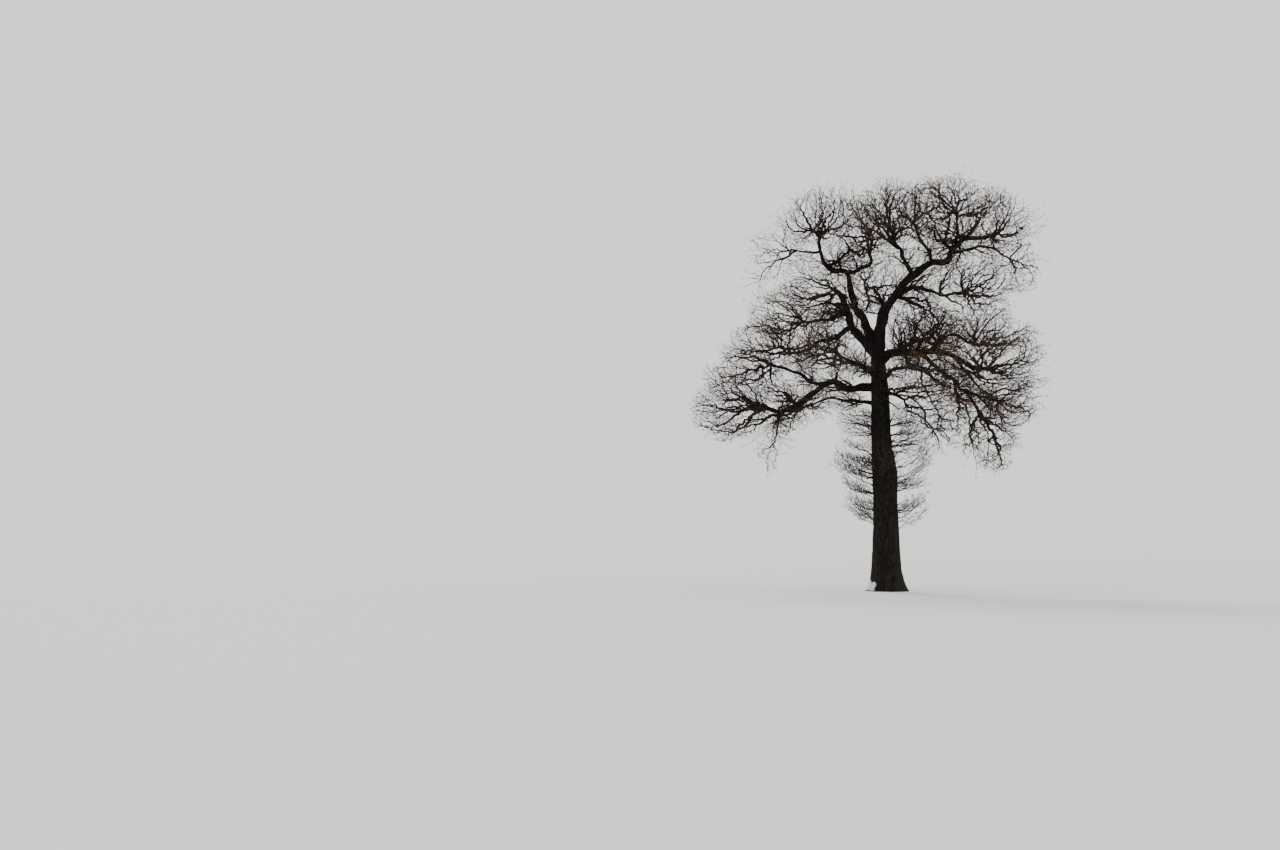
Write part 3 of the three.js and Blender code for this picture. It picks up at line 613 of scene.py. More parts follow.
class Wire:
    """A socket in a material's node tree. Sums of wires add their Math nodes."""

    def __init__(self, tree, socket=None):
        self.tree = tree
        self.socket = socket

    def node(self, kind, settings, inputs, output=0):
        made = self.tree.nodes.new(kind)
        for name, value in settings.items():
            setattr(made, name, value)
        for name, value in inputs.items():
            if isinstance(value, Wire):
                self.tree.links.new(value.socket, made.inputs[name])
            else:
                made.inputs[name].default_value = value
        return Wire(self.tree, made.outputs[output])

    def math(self, operation, first, second):
        return self.node("ShaderNodeMath", {"operation": operation}, {0: first, 1: second})

    def __add__(self, other):
        return self.math("ADD", self, other)

    def __sub__(self, other):
        return self.math("SUBTRACT", self, other)

    def __rsub__(self, other):
        return self.math("SUBTRACT", other, self)

    def __mul__(self, other):
        return self.math("MULTIPLY", self, other)

    def __abs__(self):
        return self.math("ABSOLUTE", self, 0)

    __radd__ = __add__
    __rmul__ = __mul__

    def up_to_one(self):
        return self.math("MINIMUM", self, 1)

    def blend(self, first, second):
        """The first colour where this wire is 0, and the second where it is 1."""
        inputs = {0: self, 6: first, 7: second}
        return self.node("ShaderNodeMix", {"data_type": "RGBA"}, inputs, 2)


def new_material(name, **values):
    """A material with plain values on its shader, the shader, and a wire in its tree."""
    material = bpy.data.materials.new(name)
    material.use_nodes = True
    shader = material.node_tree.nodes["Principled BSDF"]
    for socket, value in values.items():
        shader.inputs[socket.replace("_", " ")].default_value = value
    return material, shader, Wire(material.node_tree)


def connect(shader, name, wire):
    wire.tree.links.new(wire.socket, shader.inputs[name])


def noise_wire(wire, scale, detail, place=None, output=0):
    """Noise of this many lumps in a metre, or in a unit of the place."""
    place = place or wire.node("ShaderNodeTexCoord", {}, {}, "Object")
    inputs = {"Vector": place, "Scale": scale, "Detail": detail}
    return wire.node("ShaderNodeTexNoise", {}, inputs, output)


def marked(wire, name, output="Fac"):
    """What mark() has kept on the mesh under this name."""
    return wire.node("ShaderNodeAttribute", {"attribute_name": name}, {}, output)


BARK_PLATE = (0.012, 0.0095, 0.0075, 1)
BARK_PALE = (0.034, 0.028, 0.022, 1)
# The next colour is painted shade: near black, painted into the cracks between chips and ridges and
# into the carved furrows.
BARK_PAINTED_FURROW_SHADE = (0.004, 0.003, 0.002, 1)
BARK_ALGAE = (0.026, 0.036, 0.012, 1)
PATCHES_PER_METRE, GRAINS_PER_METRE = 3, 45
# Chips and ridges that the plates break up into, counted across a plate, how wide their
# cracks and furrows are as shares of them, and how far both bend.
CRACKS_PER_PLATE, CRACK_WIDTH = 1.5, 0.14
RIDGES_PER_PLATE, RIDGE_SLOPE = 1.3, 0.09
BENDS_PER_PLATE, BEND = 2, (0.7, 0.7, 0.7)
# Their shares of the height, and how light the colour of a plate is in a carved furrow, which is
# painted shade.
CRACKED, RIDGED, FURROW_PAINTED_SHADE_LEVEL = 0.45, 0.55, 0.35


def bark_material():
    material, shader, wire = new_material("oak_bark", Roughness=0.92, Specular_IOR_Level=0.15)
    place = marked(wire, "bark_place", "Vector")
    patches = noise_wire(wire, PATCHES_PER_METRE, 4)
    grain = noise_wire(wire, GRAINS_PER_METRE, 5)
    wandering = noise_wire(wire, BENDS_PER_PLATE, 3, place, "Color")
    add_bends = {"operation": "MULTIPLY_ADD"}
    bent = wire.node("ShaderNodeVectorMath", add_bends, {0: wandering, 1: BEND, 2: place})
    chips = {"Vector": bent, "Scale": CRACKS_PER_PLATE}
    edges = wire.node("ShaderNodeTexVoronoi", {"feature": "DISTANCE_TO_EDGE"}, chips)
    chip = (edges * (1 / CRACK_WIDTH)).up_to_one()
    ridge = abs(noise_wire(wire, RIDGES_PER_PLATE, 3, place) - 0.5)
    ridge = (ridge * (1 / RIDGE_SLOPE)).up_to_one()
    height = chip * CRACKED + ridge * RIDGED
    plate = patches.blend(BARK_PLATE, BARK_PALE)
    # Painted shade: the colour darkens towards near black in the cracks between chips and ridges, and
    # the carved furrows of the skin are darkened further.
    painted_furrow_shade = FURROW_PAINTED_SHADE_LEVEL + (1 - FURROW_PAINTED_SHADE_LEVEL) * marked(wire, "relief")
    wood = (height * painted_furrow_shade).blend(BARK_PAINTED_FURROW_SHADE, plate)
    green = (marked(wire, "algae") * grain).blend(wood, BARK_ALGAE)
    connect(shader, "Base Color", green)
    connect(shader, "Roughness", 0.98 - 0.12 * grain)
    rough = {"Height": height + 0.3 * grain, "Strength": 0.9, "Distance": 0.025}
    connect(shader, "Normal", wire.node("ShaderNodeBump", {}, rough))
    return material


def mark(piece, name, values):
    """Keeps a number or a vector for each corner, for the material."""
    kind, field = ("FLOAT", "value") if values.ndim == 1 else ("FLOAT_VECTOR", "vector")
    layer = piece.data.attributes.new(name, kind, "POINT")
    layer.data.foreach_set(field, values.ravel())


bark = bark_material()
# Algae: up to this height on the trunk, as far out as this, and strongest at this angle.
ALGAE_TOP, ALGAE_REACH, ALGAE_SIDE = 9.0, 1.2, 0.4


def finish_bark(skin, nodes):
    """Gives a skin its marks, its material and the nodes that it replaces."""
    points = coordinates(skin.data)
    relief, _, bark_place = bark_relief(points)
    side, _ = round_trunk(points)
    shaded = np.clip(np.cos(side - ALGAE_SIDE), 0, 1)
    low = np.clip(1 - points[:, 2] / ALGAE_TOP, 0, 1)
    damp = shaded * low * (np.hypot(points[:, 0], points[:, 1]) < ALGAE_REACH)
    # The relief is kept for the material, which paints shade into the carved furrows with it.
    mark(skin, "relief", np.clip(relief, 0, 1))
    mark(skin, "algae", damp)
    mark(skin, "bark_place", bark_place)
    skin.data.materials.clear()
    skin.data.materials.append(bark)
    select_only(skin)
    bpy.ops.object.shade_smooth()
    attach(skin, "root")
    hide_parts(*nodes)


trunk_and_limbs = bark_skin("bark_trunk_and_limbs", [draw_trunk(), draw_limbs(ON_TRUNK)])
cut_flat_at_ground(trunk_and_limbs)
finish_bark(trunk_and_limbs, ["trunk", *(name for name in ON_TRUNK if name in SOLID_LIMBS)])
boughs = bark_skin("bark_boughs", [draw_limbs(ON_LIMBS)])
finish_bark(boughs, [name for name in ON_LIMBS if name in SOLID_LIMBS])


# Snow. What a gale has plastered on the flare of the root on the left and has not melted: a
# thin crust that follows the bark and thins out towards its ragged rim.
SNOW_CENTRE, SNOW_REACH = (-0.66, -0.36, 0.14), (0.24, 0.5, 0.3)
SNOW_DEPTH, SNOW_THIN_RIM, SNOW_RAGGED, SNOW_LUMPS_PER_METRE = 0.035, 0.12, 0.5, 5
# The bark is smoothed this often under the snow, and cut twice: roughly this far outside the
# rim, and at the rim once its faces have been divided.
SNOW_SMOOTHING, SNOW_ROUGH_RIM, SNOW_DIVISIONS = 3, -0.6, 2
# Least share of its depth, and the share of it that stands out of the bark.
SNOW_LEAST, SNOW_PROUD = 0.1, 0.7
# Both snow colours are painted shade: a dim bluish grey, darker than lit snow, as snow lying in shade
# looks.
SNOW_PAINTED_SHADE_DARK, SNOW_PAINTED_SHADE_PALE = (0.42, 0.48, 0.58, 1), (0.72, 0.76, 0.82, 1)
SHADES_PER_METRE, SNOW_GRAINS_PER_METRE = 14, 160


def snow_share(points):
    """How far points lie inside the crust: 1 in its middle, 0 and less outside."""
    out = np.linalg.norm((points - SNOW_CENTRE) / SNOW_REACH, axis=1)
    return 1 - out - SNOW_RAGGED * noise_at(points * SNOW_LUMPS_PER_METRE)


def snow_material():
    material, shader, wire = new_material("snow_in_painted_shade", Roughness=0.6, Subsurface_Weight=0.25)
    shade = noise_wire(wire, SHADES_PER_METRE, 4)
    # Painted shade: the snow is coloured a dim bluish grey, mottled at random.
    connect(shader, "Base Color", shade.blend(SNOW_PAINTED_SHADE_DARK, SNOW_PAINTED_SHADE_PALE))
    grains = noise_wire(wire, SNOW_GRAINS_PER_METRE, 2)
    bump = {"Height": grains + 2 * shade, "Strength": 0.4, "Distance": 0.01}
    connect(shader, "Normal", wire.node("ShaderNodeBump", {}, bump))
    return material


def cut_away(crust, rim):
    """Deletes what lies outside the snow's rim."""
    crust.data.vertices.foreach_set("select", snow_share(coordinates(crust.data)) <= rim)
    with editing():
        bpy.ops.mesh.select_mode(type="VERT")
        bpy.ops.mesh.delete(type="VERT")


def snow_crust():
    """A copy of the bark on the flare, cut to the snow's rim and thickened."""
    crust = new_object("snow_on_flare", trunk_and_limbs.data.copy())
    crust.data.name = "snow_on_flare"
    select_only(crust)
    cut_away(crust, SNOW_ROUGH_RIM)
    apply_modifier(crust, "SMOOTH", factor=0.5, iterations=SNOW_SMOOTHING)
    with editing():
        bpy.ops.mesh.select_all(action="SELECT")
        bpy.ops.mesh.subdivide(number_cuts=SNOW_DIVISIONS)
        bpy.ops.mesh.select_all(action="DESELECT")
    cut_away(crust, 0)
    depth = crust.vertex_groups.new(name="depth")
    for corner, share in enumerate(snow_share(coordinates(crust.data))):
        depth.add([corner], min(1, math.sqrt(max(share, 0)) + SNOW_LEAST), "REPLACE")
    apply_modifier(
        crust, "SOLIDIFY", thickness=SNOW_DEPTH, offset=SNOW_PROUD, vertex_group="depth",
        thickness_vertex_group=SNOW_THIN_RIM, use_even_offset=False,
    )
    crust.data.materials.clear()
    crust.data.materials.append(snow_material())
    bpy.ops.object.shade_smooth()
    return crust


snow = snow_crust()
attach(snow, "root")


# Twigs. Every bough ends in a mass of twigs that keeps to an egg-shaped space: its centre
# and its reach sideways, in depth and upwards. fullness: how closely its finer ends stand,
# against the usual. twigs: how many the solids' rule gives it. at, side, thick: height,
# compass angle and radius of the foot of a mass that stands on the trunk.
COARSE_TWIGS = 21
Mass = namedtuple(
    "Mass", "on centre reach fullness twigs at side thick fan tangled",
    defaults=[1, COARSE_TWIGS, None, None, None, False, False],
)


def shoots(at, side, thick, centre, reach, twigs, tangled=False):
    """A tuft of young shoots on the trunk: flat layers that rise outwards, or a tangle."""
    return Mass("trunk", centre, reach, 1, twigs, at, side, thick, True, tangled)


MASSES = {
    "left_crest": Mass("limb_left", [-2.7, -0.9, 12], [1.7, 1.8, 0.95]),
    "left_low": Mass("bough_low_left", [-6, -1.5, 7.3], [1.9, 1.9, 1.6], fullness=1.15),
    "left_upper": Mass("bough_fork_left", [-5.3, 0.1, 8.95], [1.9, 1.8, 1.2], fullness=1.1),
    "left_under": Mass("bough_thin_left", [-4.15, 2.2, 7.2], [1.3, 1.4, 0.8]),
    "left_shelf": Mass("bough_shelf_left", [-4.9, 1.2, 10.35], [1.8, 1.8, 1.2]),
    "left_ray": Mass("bough_ray_left", [-3.9, -2.3, 10.8], [1.7, 1.8, 1.1]),
    "left_hanging": Mass("bough_hanging", [-4.45, -1.5, 5.35], [0.5, 0.6, 0.95], twigs=13),
    "top_left": Mass("limb_middle", [-2.4, -0.2, 15.2], [1.7, 1.8, 1.6], fullness=0.8),
    "far_left": Mass("bough_far_left", [-4.5, -0.9, 13.8], [1.2, 1.1, 1], fullness=0.35, twigs=18),
    "top_middle": Mass("bough_top_middle", [-0.75, 1.8, 15.3], [1.6, 1.8, 1.8]),
    "top_centre": Mass("bough_top_centre", [0.4, -1.9, 14.8], [1.6, 1.8, 1.6]),
    "top_crest": Mass("bough_straight", [1.8, 1.4, 15.5], [1.7, 1.9, 1.6]),
    "top_right": Mass("bough_top_right", [3, -1.2, 15.1], [1.7, 1.9, 1.6]),
    "right_crest": Mass("limb_right", [4.7, 0.6, 14.8], [1.7, 1.9, 1.4]),
    "far_right": Mass("bough_far_right", [5.2, -1.6, 12.7], [1.2, 1.4, 1], fullness=0.6, twigs=18),
    "right_middle": Mass("bough_right_middle", [3.6, -1.8, 11.8], [1.8, 1.9, 1.25]),
    "centre_back": Mass("bough_centre", [-0.3, 2.4, 12.7], [1.8, 1.8, 1.4], fullness=0.8),
    "right_long": Mass("bough_right_long", [4.5, -2.2, 8.9], [1.8, 1.8, 1.2], fullness=1.25),
    "right_drooping": Mass("bough_drooping", [3.9, -3, 5.75], [1.3, 1.6, 1.5], fullness=1.3),
    "right_low": Mass("bough_low_right", [4.8, -0.3, 7.45], [1.5, 1.8, 1.25], fullness=1.15),
    "right_arch": Mass("bough_arch", [4.5, 1.1, 10.3], [1.8, 1.9, 1.2], fullness=1.1),
    "right_back": Mass("bough_back_right", [2.4, 3.3, 11], [1.8, 1.8, 1.4], fullness=0.65),
    "front_left": Mass("bough_front_left", [-2.4, -3.8, 9.2], [1.7, 1.7, 1.25], fullness=0.6),
    "front_right": Mass("bough_front_right", [2, -3.7, 8.2], [1.6, 1.8, 1.3], fullness=0.65),
    "back_left": Mass("bough_back_left", [-2.5, 3.9, 10.1], [1.8, 1.7, 1.4], fullness=0.7),
    "right_inner": Mass(
        "trunk", [1.6, -0.9, 7.6], [1.5, 1.4, 1.1], fullness=1.4, twigs=15,
        at=7.85, side=-15, thick=0.07,
    ),
    "shoots_left_upper": shoots(6.5, 190, 0.05, [-1.1, -0.2, 6.7], [0.9, 1, 0.9], 10, tangled=True),
    "shoots_left_middle": shoots(4.35, 175, 0.05, [-1.2, 0.1, 4.95], [1, 1.1, 1.1], 10),
    "shoots_left_low": shoots(2.95, 185, 0.04, [-1, 0, 3.4], [0.7, 0.8, 0.7], 9),
    "shoots_right_upper": shoots(5.9, 15, 0.05, [1.05, 0.2, 6.3], [1, 1.1, 1], 11, tangled=True),
    "shoots_right_middle": shoots(4.35, 0, 0.06, [1.15, 0, 4.75], [1, 1.1, 0.9], 11),
    "shoots_right_low": shoots(2.95, -10, 0.05, [1.05, -0.1, 3.3], [0.8, 0.9, 0.8], 10),
    "shoots_front": shoots(4.5, 265, 0.05, [-0.05, -1.1, 5.1], [0.6, 0.8, 0.9], 9),
    "shoots_back": shoots(4.6, 95, 0.05, [-0.05, 1.1, 5.2], [0.65, 0.8, 0.9], 9),
}
CENTRES = np.array([mass.centre for mass in MASSES.values()])
REACHES = np.array([mass.reach for mass in MASSES.values()])
# Finer ends for each cubic metre of space, in the crown and on the trunk.
ENDS_PER_VOLUME, FAN_ENDS_PER_VOLUME = 125, 290
# Where the finer ends stand: out to this share of the reach, less where the edge is ragged
# or notched, and out to the web's share where the next mass is as near.
EDGE, RAGGED, LUMPS_PER_METRE = 0.99, 0.26, 1.1
NOTCHED, NOTCHES_PER_METRE = 0.3, 3.7
WEB = 1.35
# Sky between the sprays: where this noise is lower than the first number, no end stands. It
# lies in flat layers between young shoots.
SKY, SKIES_PER_METRE = -0.16, (1.4, 1.4, 1.4)
FAN_SKY, FAN_SKIES_PER_METRE = 0.02, (0.7, 0.7, 3)
# How far ends and spurs may pass the box of the solids, as a share of its sides.
ENDS_PROUD, SPURS_PROUD = 0.02, 0.028
# How strongly the ends of a space lie out towards its rim.
TO_RIM = 0.27
# Sleeve of finer ends round a bough or a second branch, from this share of its length on,
# its radius there and at its tip, and how far into the next mass's space it may come.
SLEEVE_START = {"bough": 0.25, "branch": 0.1}
SLEEVE_RADII = {"bough": [0.35, 1], "branch": [0.45, 0.95]}
SLEEVE_BESIDE = 0.85
SLEEVE_SCATTER = 97
BOUGH_FORK_SPACING = 0.16
# Feet of young shoots on the trunk: their spacing upwards, how far up and down the tuft's
# reach they stand, and their compass angles to each side. The scatter numbers put no two of
# them alike.
SHOOT_SPACING, SHOOTS_DOWN, SHOOTS_UP, SHOOT_ANGLES = 0.17, 0.75, 0.5, [-0.7, -0.25, 0.25, 0.7]
SHOOT_RISE, SHOOT_RADIUS, SHOOT_SCATTER = 0.1, 0.03, 5
# Between them level arms leave the trunk, as long as a share of the way to the far side of
# the space. They stray from their angles, rise and wave by these shares.
ARM_LEVELS, ARM_ANGLES, ARM_LENGTH, ARM_PARTS = [-0.55, -0.1, 0.3], [-0.55, 0, 0.55], 0.72, 4
ARM_STRAY, ARM_RISE, ARM_WAVE, ARM_SCATTER = 0.25, 0.12, 0.04, (9, 5, 7)
# Power by which the shoots crowd at the trunk.
SHOOT_CROWD = 2.1
# All of it curves up like a bowl: how far it rises with the square of the way out.
SHOOT_BOWL = 0.13
# A mass's stem: how far it runs straight, how strongly it bends, how far it passes the middle
# of the space, its lengths, how deep it starts in the trunk or the tip that carries it, and
# how steeply it rises from the trunk.
STEM_STRAIGHT, STEM_BEND, STEM_PAST, STEM_LENGTHS = 0.06, 0.6, 0.9, 3
STEM_INSIDE, STEM_SUNK, STEM_RISE = 0.8, 0.06, 0.35
# No twig leaves the stem nearer to its foot than this.
BARE_STEM = 0.1
# A longer twig of the solids' rule gets a fork point in its middle.
LONG_TWIG = 1
# What a metre of a twig costs, of its path back to the foot, and of sinking, where a metre
# straight on pays back one: for the solids' rule, then for the finer twigs.
COARSE_COSTS, FAN_COSTS = (1.4, 0.4, 0), (1.4, 0.8, 0)
FINE_COSTS, FLAT_COSTS = (2.2, 0.35, 0.6), (1.9, 0.5, 2.5)
# What each twig that a fork point carries already adds, and the most finer ones it carries.
CROWD_COST, MOST_TWIGS = 0.22, 3
# Fork points that a mass may need besides those of its ends.
SPARE_FORKS = 300
# How often and how far a branch is drawn straight between its forks.
STRAIGHTENINGS, STRAIGHTENED = 1, 0.5
LIMB_ROOM = 0.035
SPACE_ROOM = 0.08
# Steps of an even spread, and how far the solids' ends lie out in it.
SPREAD = np.array([0.8191725134, 0.6710436067, 0.5497004779])
SEED_STEP = 0.554
SPREAD_OUT = 0.2

# Balls that fill the limbs.
BALL_CENTRES, BALL_RADII, _ = stacked(limb_stations(name, LIMB_RING_SPACING) for name in LIMBS)


def own_and_next(index, points):
    """How far out points lie in the mass's own space, and in the space of the next mass."""
    out = np.linalg.norm((points[:, None] - CENTRES) / REACHES, axis=2)
    own = out[:, index].copy()
    out[:, index] = np.inf
    return own, out.min(1)


def in_reach(points, share):
    """Whether points lie in the box of the solids, or no more than this share outside it."""
    low, high = np.array(solid_box)
    proud = share * (high - low)
    return ((points > low - proud) & (points < high + proud)).all(1)


def off_limbs(points):
    """Whether points are clear of the trunk and of every limb."""
    low, high = points.min(0) - BALL_RADII.max(), points.max(0) + BALL_RADII.max()
    near = ((BALL_CENTRES > low - LIMB_ROOM) & (BALL_CENTRES < high + LIMB_ROOM)).all(1)
    apart = np.linalg.norm(points[:, None] - BALL_CENTRES[near], axis=2)
    angle, level = round_trunk(points)
    above = points[:, 2] > TRUNK_HEIGHTS[-1]
    off_trunk = level > bark_radius(points[:, 2], angle) + LIMB_ROOM
    return (above | off_trunk) & (apart > BALL_RADII[near] + LIMB_ROOM).all(1)


def is_free(index, points):
    """Whether points lie in the mass's own space, off the trunk and off every limb."""
    own, beside = own_and_next(index, points)
    return (own <= 1) & (beside > own + SPACE_ROOM) & off_limbs(points)


def lies_flat(mass):
    """Whether a mass consists of flat layers of young shoots."""
    return mass.fan and not mass.tangled


def in_crown(index, mass, points):
    """Whether points lie where the mass has its finer twigs."""
    own, beside = own_and_next(index, points)
    lumps = 0.5 + 0.5 * noise_at(points * LUMPS_PER_METRE)
    notches = np.maximum(noise_at(points * NOTCHES_PER_METRE), 0)
    edge = EDGE - RAGGED * lumps - NOTCHED * notches
    if lies_flat(mass):
        closed = noise_at(points * FAN_SKIES_PER_METRE) > FAN_SKY
    else:
        closed = noise_at(points * SKIES_PER_METRE) > SKY
    return closed & (own < beside) & ((own < edge) | ((own < WEB * edge) & (beside < WEB * edge)))


def foot_on_trunk(height, angle, rise):
    """A place inside the bark at a height and a compass angle, and the heading of what grows
    out there and rises this steeply."""
    outwards = np.stack([np.cos(angle), np.sin(angle), np.zeros_like(angle)], -1)
    foot = trunk_centre(height) + outwards * STEM_INSIDE * trunk_radius(height)[..., None]
    outwards[..., 2] = rise
    return foot, outwards / np.linalg.norm(outwards, axis=-1)[..., None]


def mass_foot(mass):
    """Foot, heading and radius of the stem that carries a mass."""
    if mass.on != "trunk":
        places, radii, headings = limb_stations(mass.on, LIMB_RING_SPACING)
        return places[-1], headings[-1], radii[-1]
    return *foot_on_trunk(mass.at, math.radians(mass.side), STEM_RISE), mass.thick


def spread(index, count):
    """Three even spreads of numbers from 0 to 1, the same each time."""
    numbers = np.arange(1, count + 1)[:, None]
    return ((0.5 + SEED_STEP * index + SPREAD * numbers) % 1).T


def directions(a, b):
    """Even directions from two even spreads."""
    rise = 2 * a - 1
    level = np.sqrt(1 - rise**2)
    return np.stack([level * np.cos(2 * math.pi * b), level * np.sin(2 * math.pi * b), rise], 1)


def coarse_ends(index, mass):
    """The ends that the twigs of the solid grow towards."""
    a, b, c = spread(index, mass.twigs)
    return directions(a, b) * mass.reach * (c**SPREAD_OUT)[:, None] + mass.centre


def crowd_at_trunk(ends, mass):
    """Draws the ends of young shoots in towards the trunk."""
    x, y, _ = mass.centre
    far = math.hypot(x, y) + max(mass.reach[:2])
    out = ends[:, :2] - trunk_centre(ends[:, 2])[:, :2]
    level = np.hypot(*out.T)
    bare = trunk_radius(ends[:, 2])
    share = np.clip((level - bare) / (far - bare), 0, 1)
    drawn = np.where(level > bare, bare + (far - bare) * share**SHOOT_CROWD, level)
    ends[:, :2] += out * (drawn / level - 1)[:, None]


def fine_ends(index, mass):
    """The ends of the finer twigs in the mass's space and in the webs to the next ones."""
    closeness = FAN_ENDS_PER_VOLUME if mass.fan else ENDS_PER_VOLUME
    volume = 4 / 3 * math.pi * math.prod(mass.reach) * WEB**3
    count = round(volume * closeness * mass.fullness)
    a, b, c = spread(index, count)
    ends = directions(a, b) * mass.reach * WEB * (c**TO_RIM)[:, None] + mass.centre
    if mass.fan:
        crowd_at_trunk(ends, mass)
    return ends, in_crown(index, mass, ends) & in_reach(ends, ENDS_PROUD) & off_limbs(ends)


def sleeve_ends(index, mass, limb_name, kind):
    """The ends of the finer twigs round a bough or branch that carries the mass."""
    start = SLEEVE_START[kind]
    first, last = SLEEVE_RADII[kind]
    section = math.pi * (first**2 + first * last + last**2) / 3
    volume = (1 - start) * limb_length(limb_name) * section
    a, b, c = spread(index, round(volume * ENDS_PER_VOLUME * mass.fullness))
    shares = start + (1 - start) * a
    radii = np.sqrt(c) * (first + (last - first) * a)
    around = directions(b, (a * SLEEVE_SCATTER) % 1)
    ends = limb_points(limb_name, shares) + around * radii[:, None]
    own, beside = own_and_next(index, ends)
    wanted = (own > EDGE) & (beside > SLEEVE_BESIDE) & ~in_crown(index, mass, ends)
    return ends, wanted & in_reach(ends, ENDS_PROUD) & off_limbs(ends)


class Growth:
    """The fork points of a mass, in the order in which they grow."""

    def __init__(self, foot, along, most):
        self.place = np.zeros((most, 3))
        self.heading = np.zeros((most, 3))
        self.path = np.zeros(most)
        self.limb_radius = np.zeros(most)
        self.twigs = np.zeros(most)
        self.parent = np.full(most, -1)
        self.place[0] = foot
        self.heading[0] = along
        self.count = 1

    def root(self, places, radii, headings, paths):
        """Fork points on the wood itself, which twigs may start from too."""
        forks = slice(self.count, self.count + len(places))
        self.place[forks] = places
        self.limb_radius[forks] = radii
        self.heading[forks] = headings
        self.path[forks] = BARE_STEM + paths
        self.count += len(places)

    def add(self, place, parent):
        step = place - self.place[parent]
        length = np.linalg.norm(step)
        self.twigs[parent] += 1
        self.place[self.count] = place
        self.heading[self.count] = step / length
        self.path[self.count] = self.path[parent] + length
        self.parent[self.count] = parent
        self.count += 1
        return self.count - 1

    def cost(self, tips, forks, costs):
        """What it costs to grow to tips from fork points: to many, or from many."""
        turn_cost, path_cost, sink_cost = costs
        step = tips - self.place[forks]
        cost = np.sqrt((step * step).sum(1)) * turn_cost - (step * self.heading[forks]).sum(1)
        cost += path_cost * self.path[forks] - sink_cost * np.minimum(step[:, 2], 0)
        return np.where(self.path[forks] < BARE_STEM, np.inf, cost)


def branches_of(name):
    return [branch for branch, limb in BRANCHES.items() if limb.twigs == name]


def finer_ends(index, name, mass):
    """The finer ends of a mass in an even mixture."""
    groups = [fine_ends(index, mass)]
    if mass.on != "trunk":
        groups.append(sleeve_ends(index, mass, mass.on, "bough"))
    groups.extend(sleeve_ends(index, mass, branch, "branch") for branch in branches_of(name))
    ages = [np.flatnonzero(wanted) / max(len(wanted), 1) for _, wanted in groups]
    order = np.concatenate(ages).argsort(kind="stable")
    return np.concatenate([ends[wanted] for ends, wanted in groups])[order]


def shoot_feet(mass):
    """Places on the trunk that young shoots start from, with radii, headings and paths."""
    lowest = mass.centre[2] - SHOOTS_DOWN * mass.reach[2]
    highest = mass.centre[2] + SHOOTS_UP * mass.reach[2]
    heights = np.arange(lowest, highest, SHOOT_SPACING)
    turns = math.radians(mass.side) + np.array(SHOOT_ANGLES)
    heights, turns = (grid.ravel() for grid in np.meshgrid(heights, turns))
    heights = heights + 0.5 * SHOOT_SPACING * np.sin(SHOOT_SCATTER * turns)
    feet, headings = foot_on_trunk(heights, turns, SHOOT_RISE)
    return feet, np.full(len(feet), SHOOT_RADIUS), headings, np.zeros(len(feet))


def curve_up(growth, mass):
    """Lets young shoots rise the more, the further out they are."""
    places = growth.place[: growth.count]
    x, y, _ = mass.centre
    _, level = round_trunk(places)
    places[:, 2] += SHOOT_BOWL * (level**2 - x**2 - y**2)


def grow_arms(growth, mass):
    """Level arms out of the trunk, which the young shoots rise from."""
    x, y, z = mass.centre
    far = math.hypot(x, y) + max(mass.reach[:2]) - trunk_radius(z)
    by_level, by_turn, by_part = ARM_SCATTER
    for order, level in enumerate(ARM_LEVELS):
        height = z + level * mass.reach[2]
        for turn in ARM_ANGLES:
            angle = math.radians(mass.side) + turn
            angle += ARM_STRAY * math.sin(by_level * order + by_turn * turn)
            foot, outwards = foot_on_trunk(height, angle, 0)
            growth.root(foot[None], SHOOT_RADIUS, outwards[None], 0)
            length = ARM_LENGTH * far * math.cos(turn)
            for part in range(1, ARM_PARTS + 1):
                share = part / ARM_PARTS
                lift = ARM_RISE * share * share * length + ARM_WAVE * math.sin(by_part * part + height)
                place = foot + outwards * length * share
                growth.add(place + np.array([0, 0, lift]), growth.count - 1)


def wood_roots(name, mass):
    """Fork points on the bough of a mass and on its second branches, or on the trunk."""
    if mass.fan:
        return shoot_feet(mass)
    roots = []
    if mass.on != "trunk":
        roots.append((mass.on, SLEEVE_START["bough"]))
    roots.extend((branch, SLEEVE_START["branch"]) for branch in branches_of(name))
    rows = []
    for limb_name, start in roots:
        places, radii, headings = limb_stations(limb_name, BOUGH_FORK_SPACING)
        bare = round(start * len(places))
        paths = BOUGH_FORK_SPACING * np.arange(len(places) - bare)
        rows.append((places[bare:], radii[bare:], headings[bare:], paths))
    return stacked(rows)


def grow_stem(growth, index, mass):
    """The stem: a bend from the foot through the middle of the mass's space."""
    foot, along = growth.place[0], growth.heading[0]
    centre = np.array(mass.centre)
    straight = foot + along * STEM_STRAIGHT
    bend = foot + along * STEM_BEND * np.linalg.norm(centre - foot)
    end = centre + STEM_PAST * (centre - foot)
    growth.add(straight, 0)
    for length in range(1, STEM_LENGTHS + 1):
        t = length / STEM_LENGTHS
        place = (1 - t) ** 2 * straight + 2 * (1 - t) * t * bend + t**2 * end
        own, beside = own_and_next(index, place[None])
        if own > 1 or beside <= own + SPACE_ROOM:
            break
        growth.add(place, growth.count - 1)


def grow_twigs(growth, tips, costs):
    """The twigs of the solids' rule: each starts from the fork point that costs it least, and
    is left out where a limb is in its way."""
    for tip in tips:
        forks = slice(0, growth.count)
        cost = growth.cost(tip, forks, costs) + CROWD_COST * growth.twigs[forks]
        best = int(cost.argmin())
        start = growth.place[best]
        middle = (start + tip) / 2
        if not off_limbs(middle[None])[0]:
            continue
        if np.linalg.norm(tip - start) > LONG_TWIG:
            best = growth.add(middle, best)
        growth.add(tip, best)


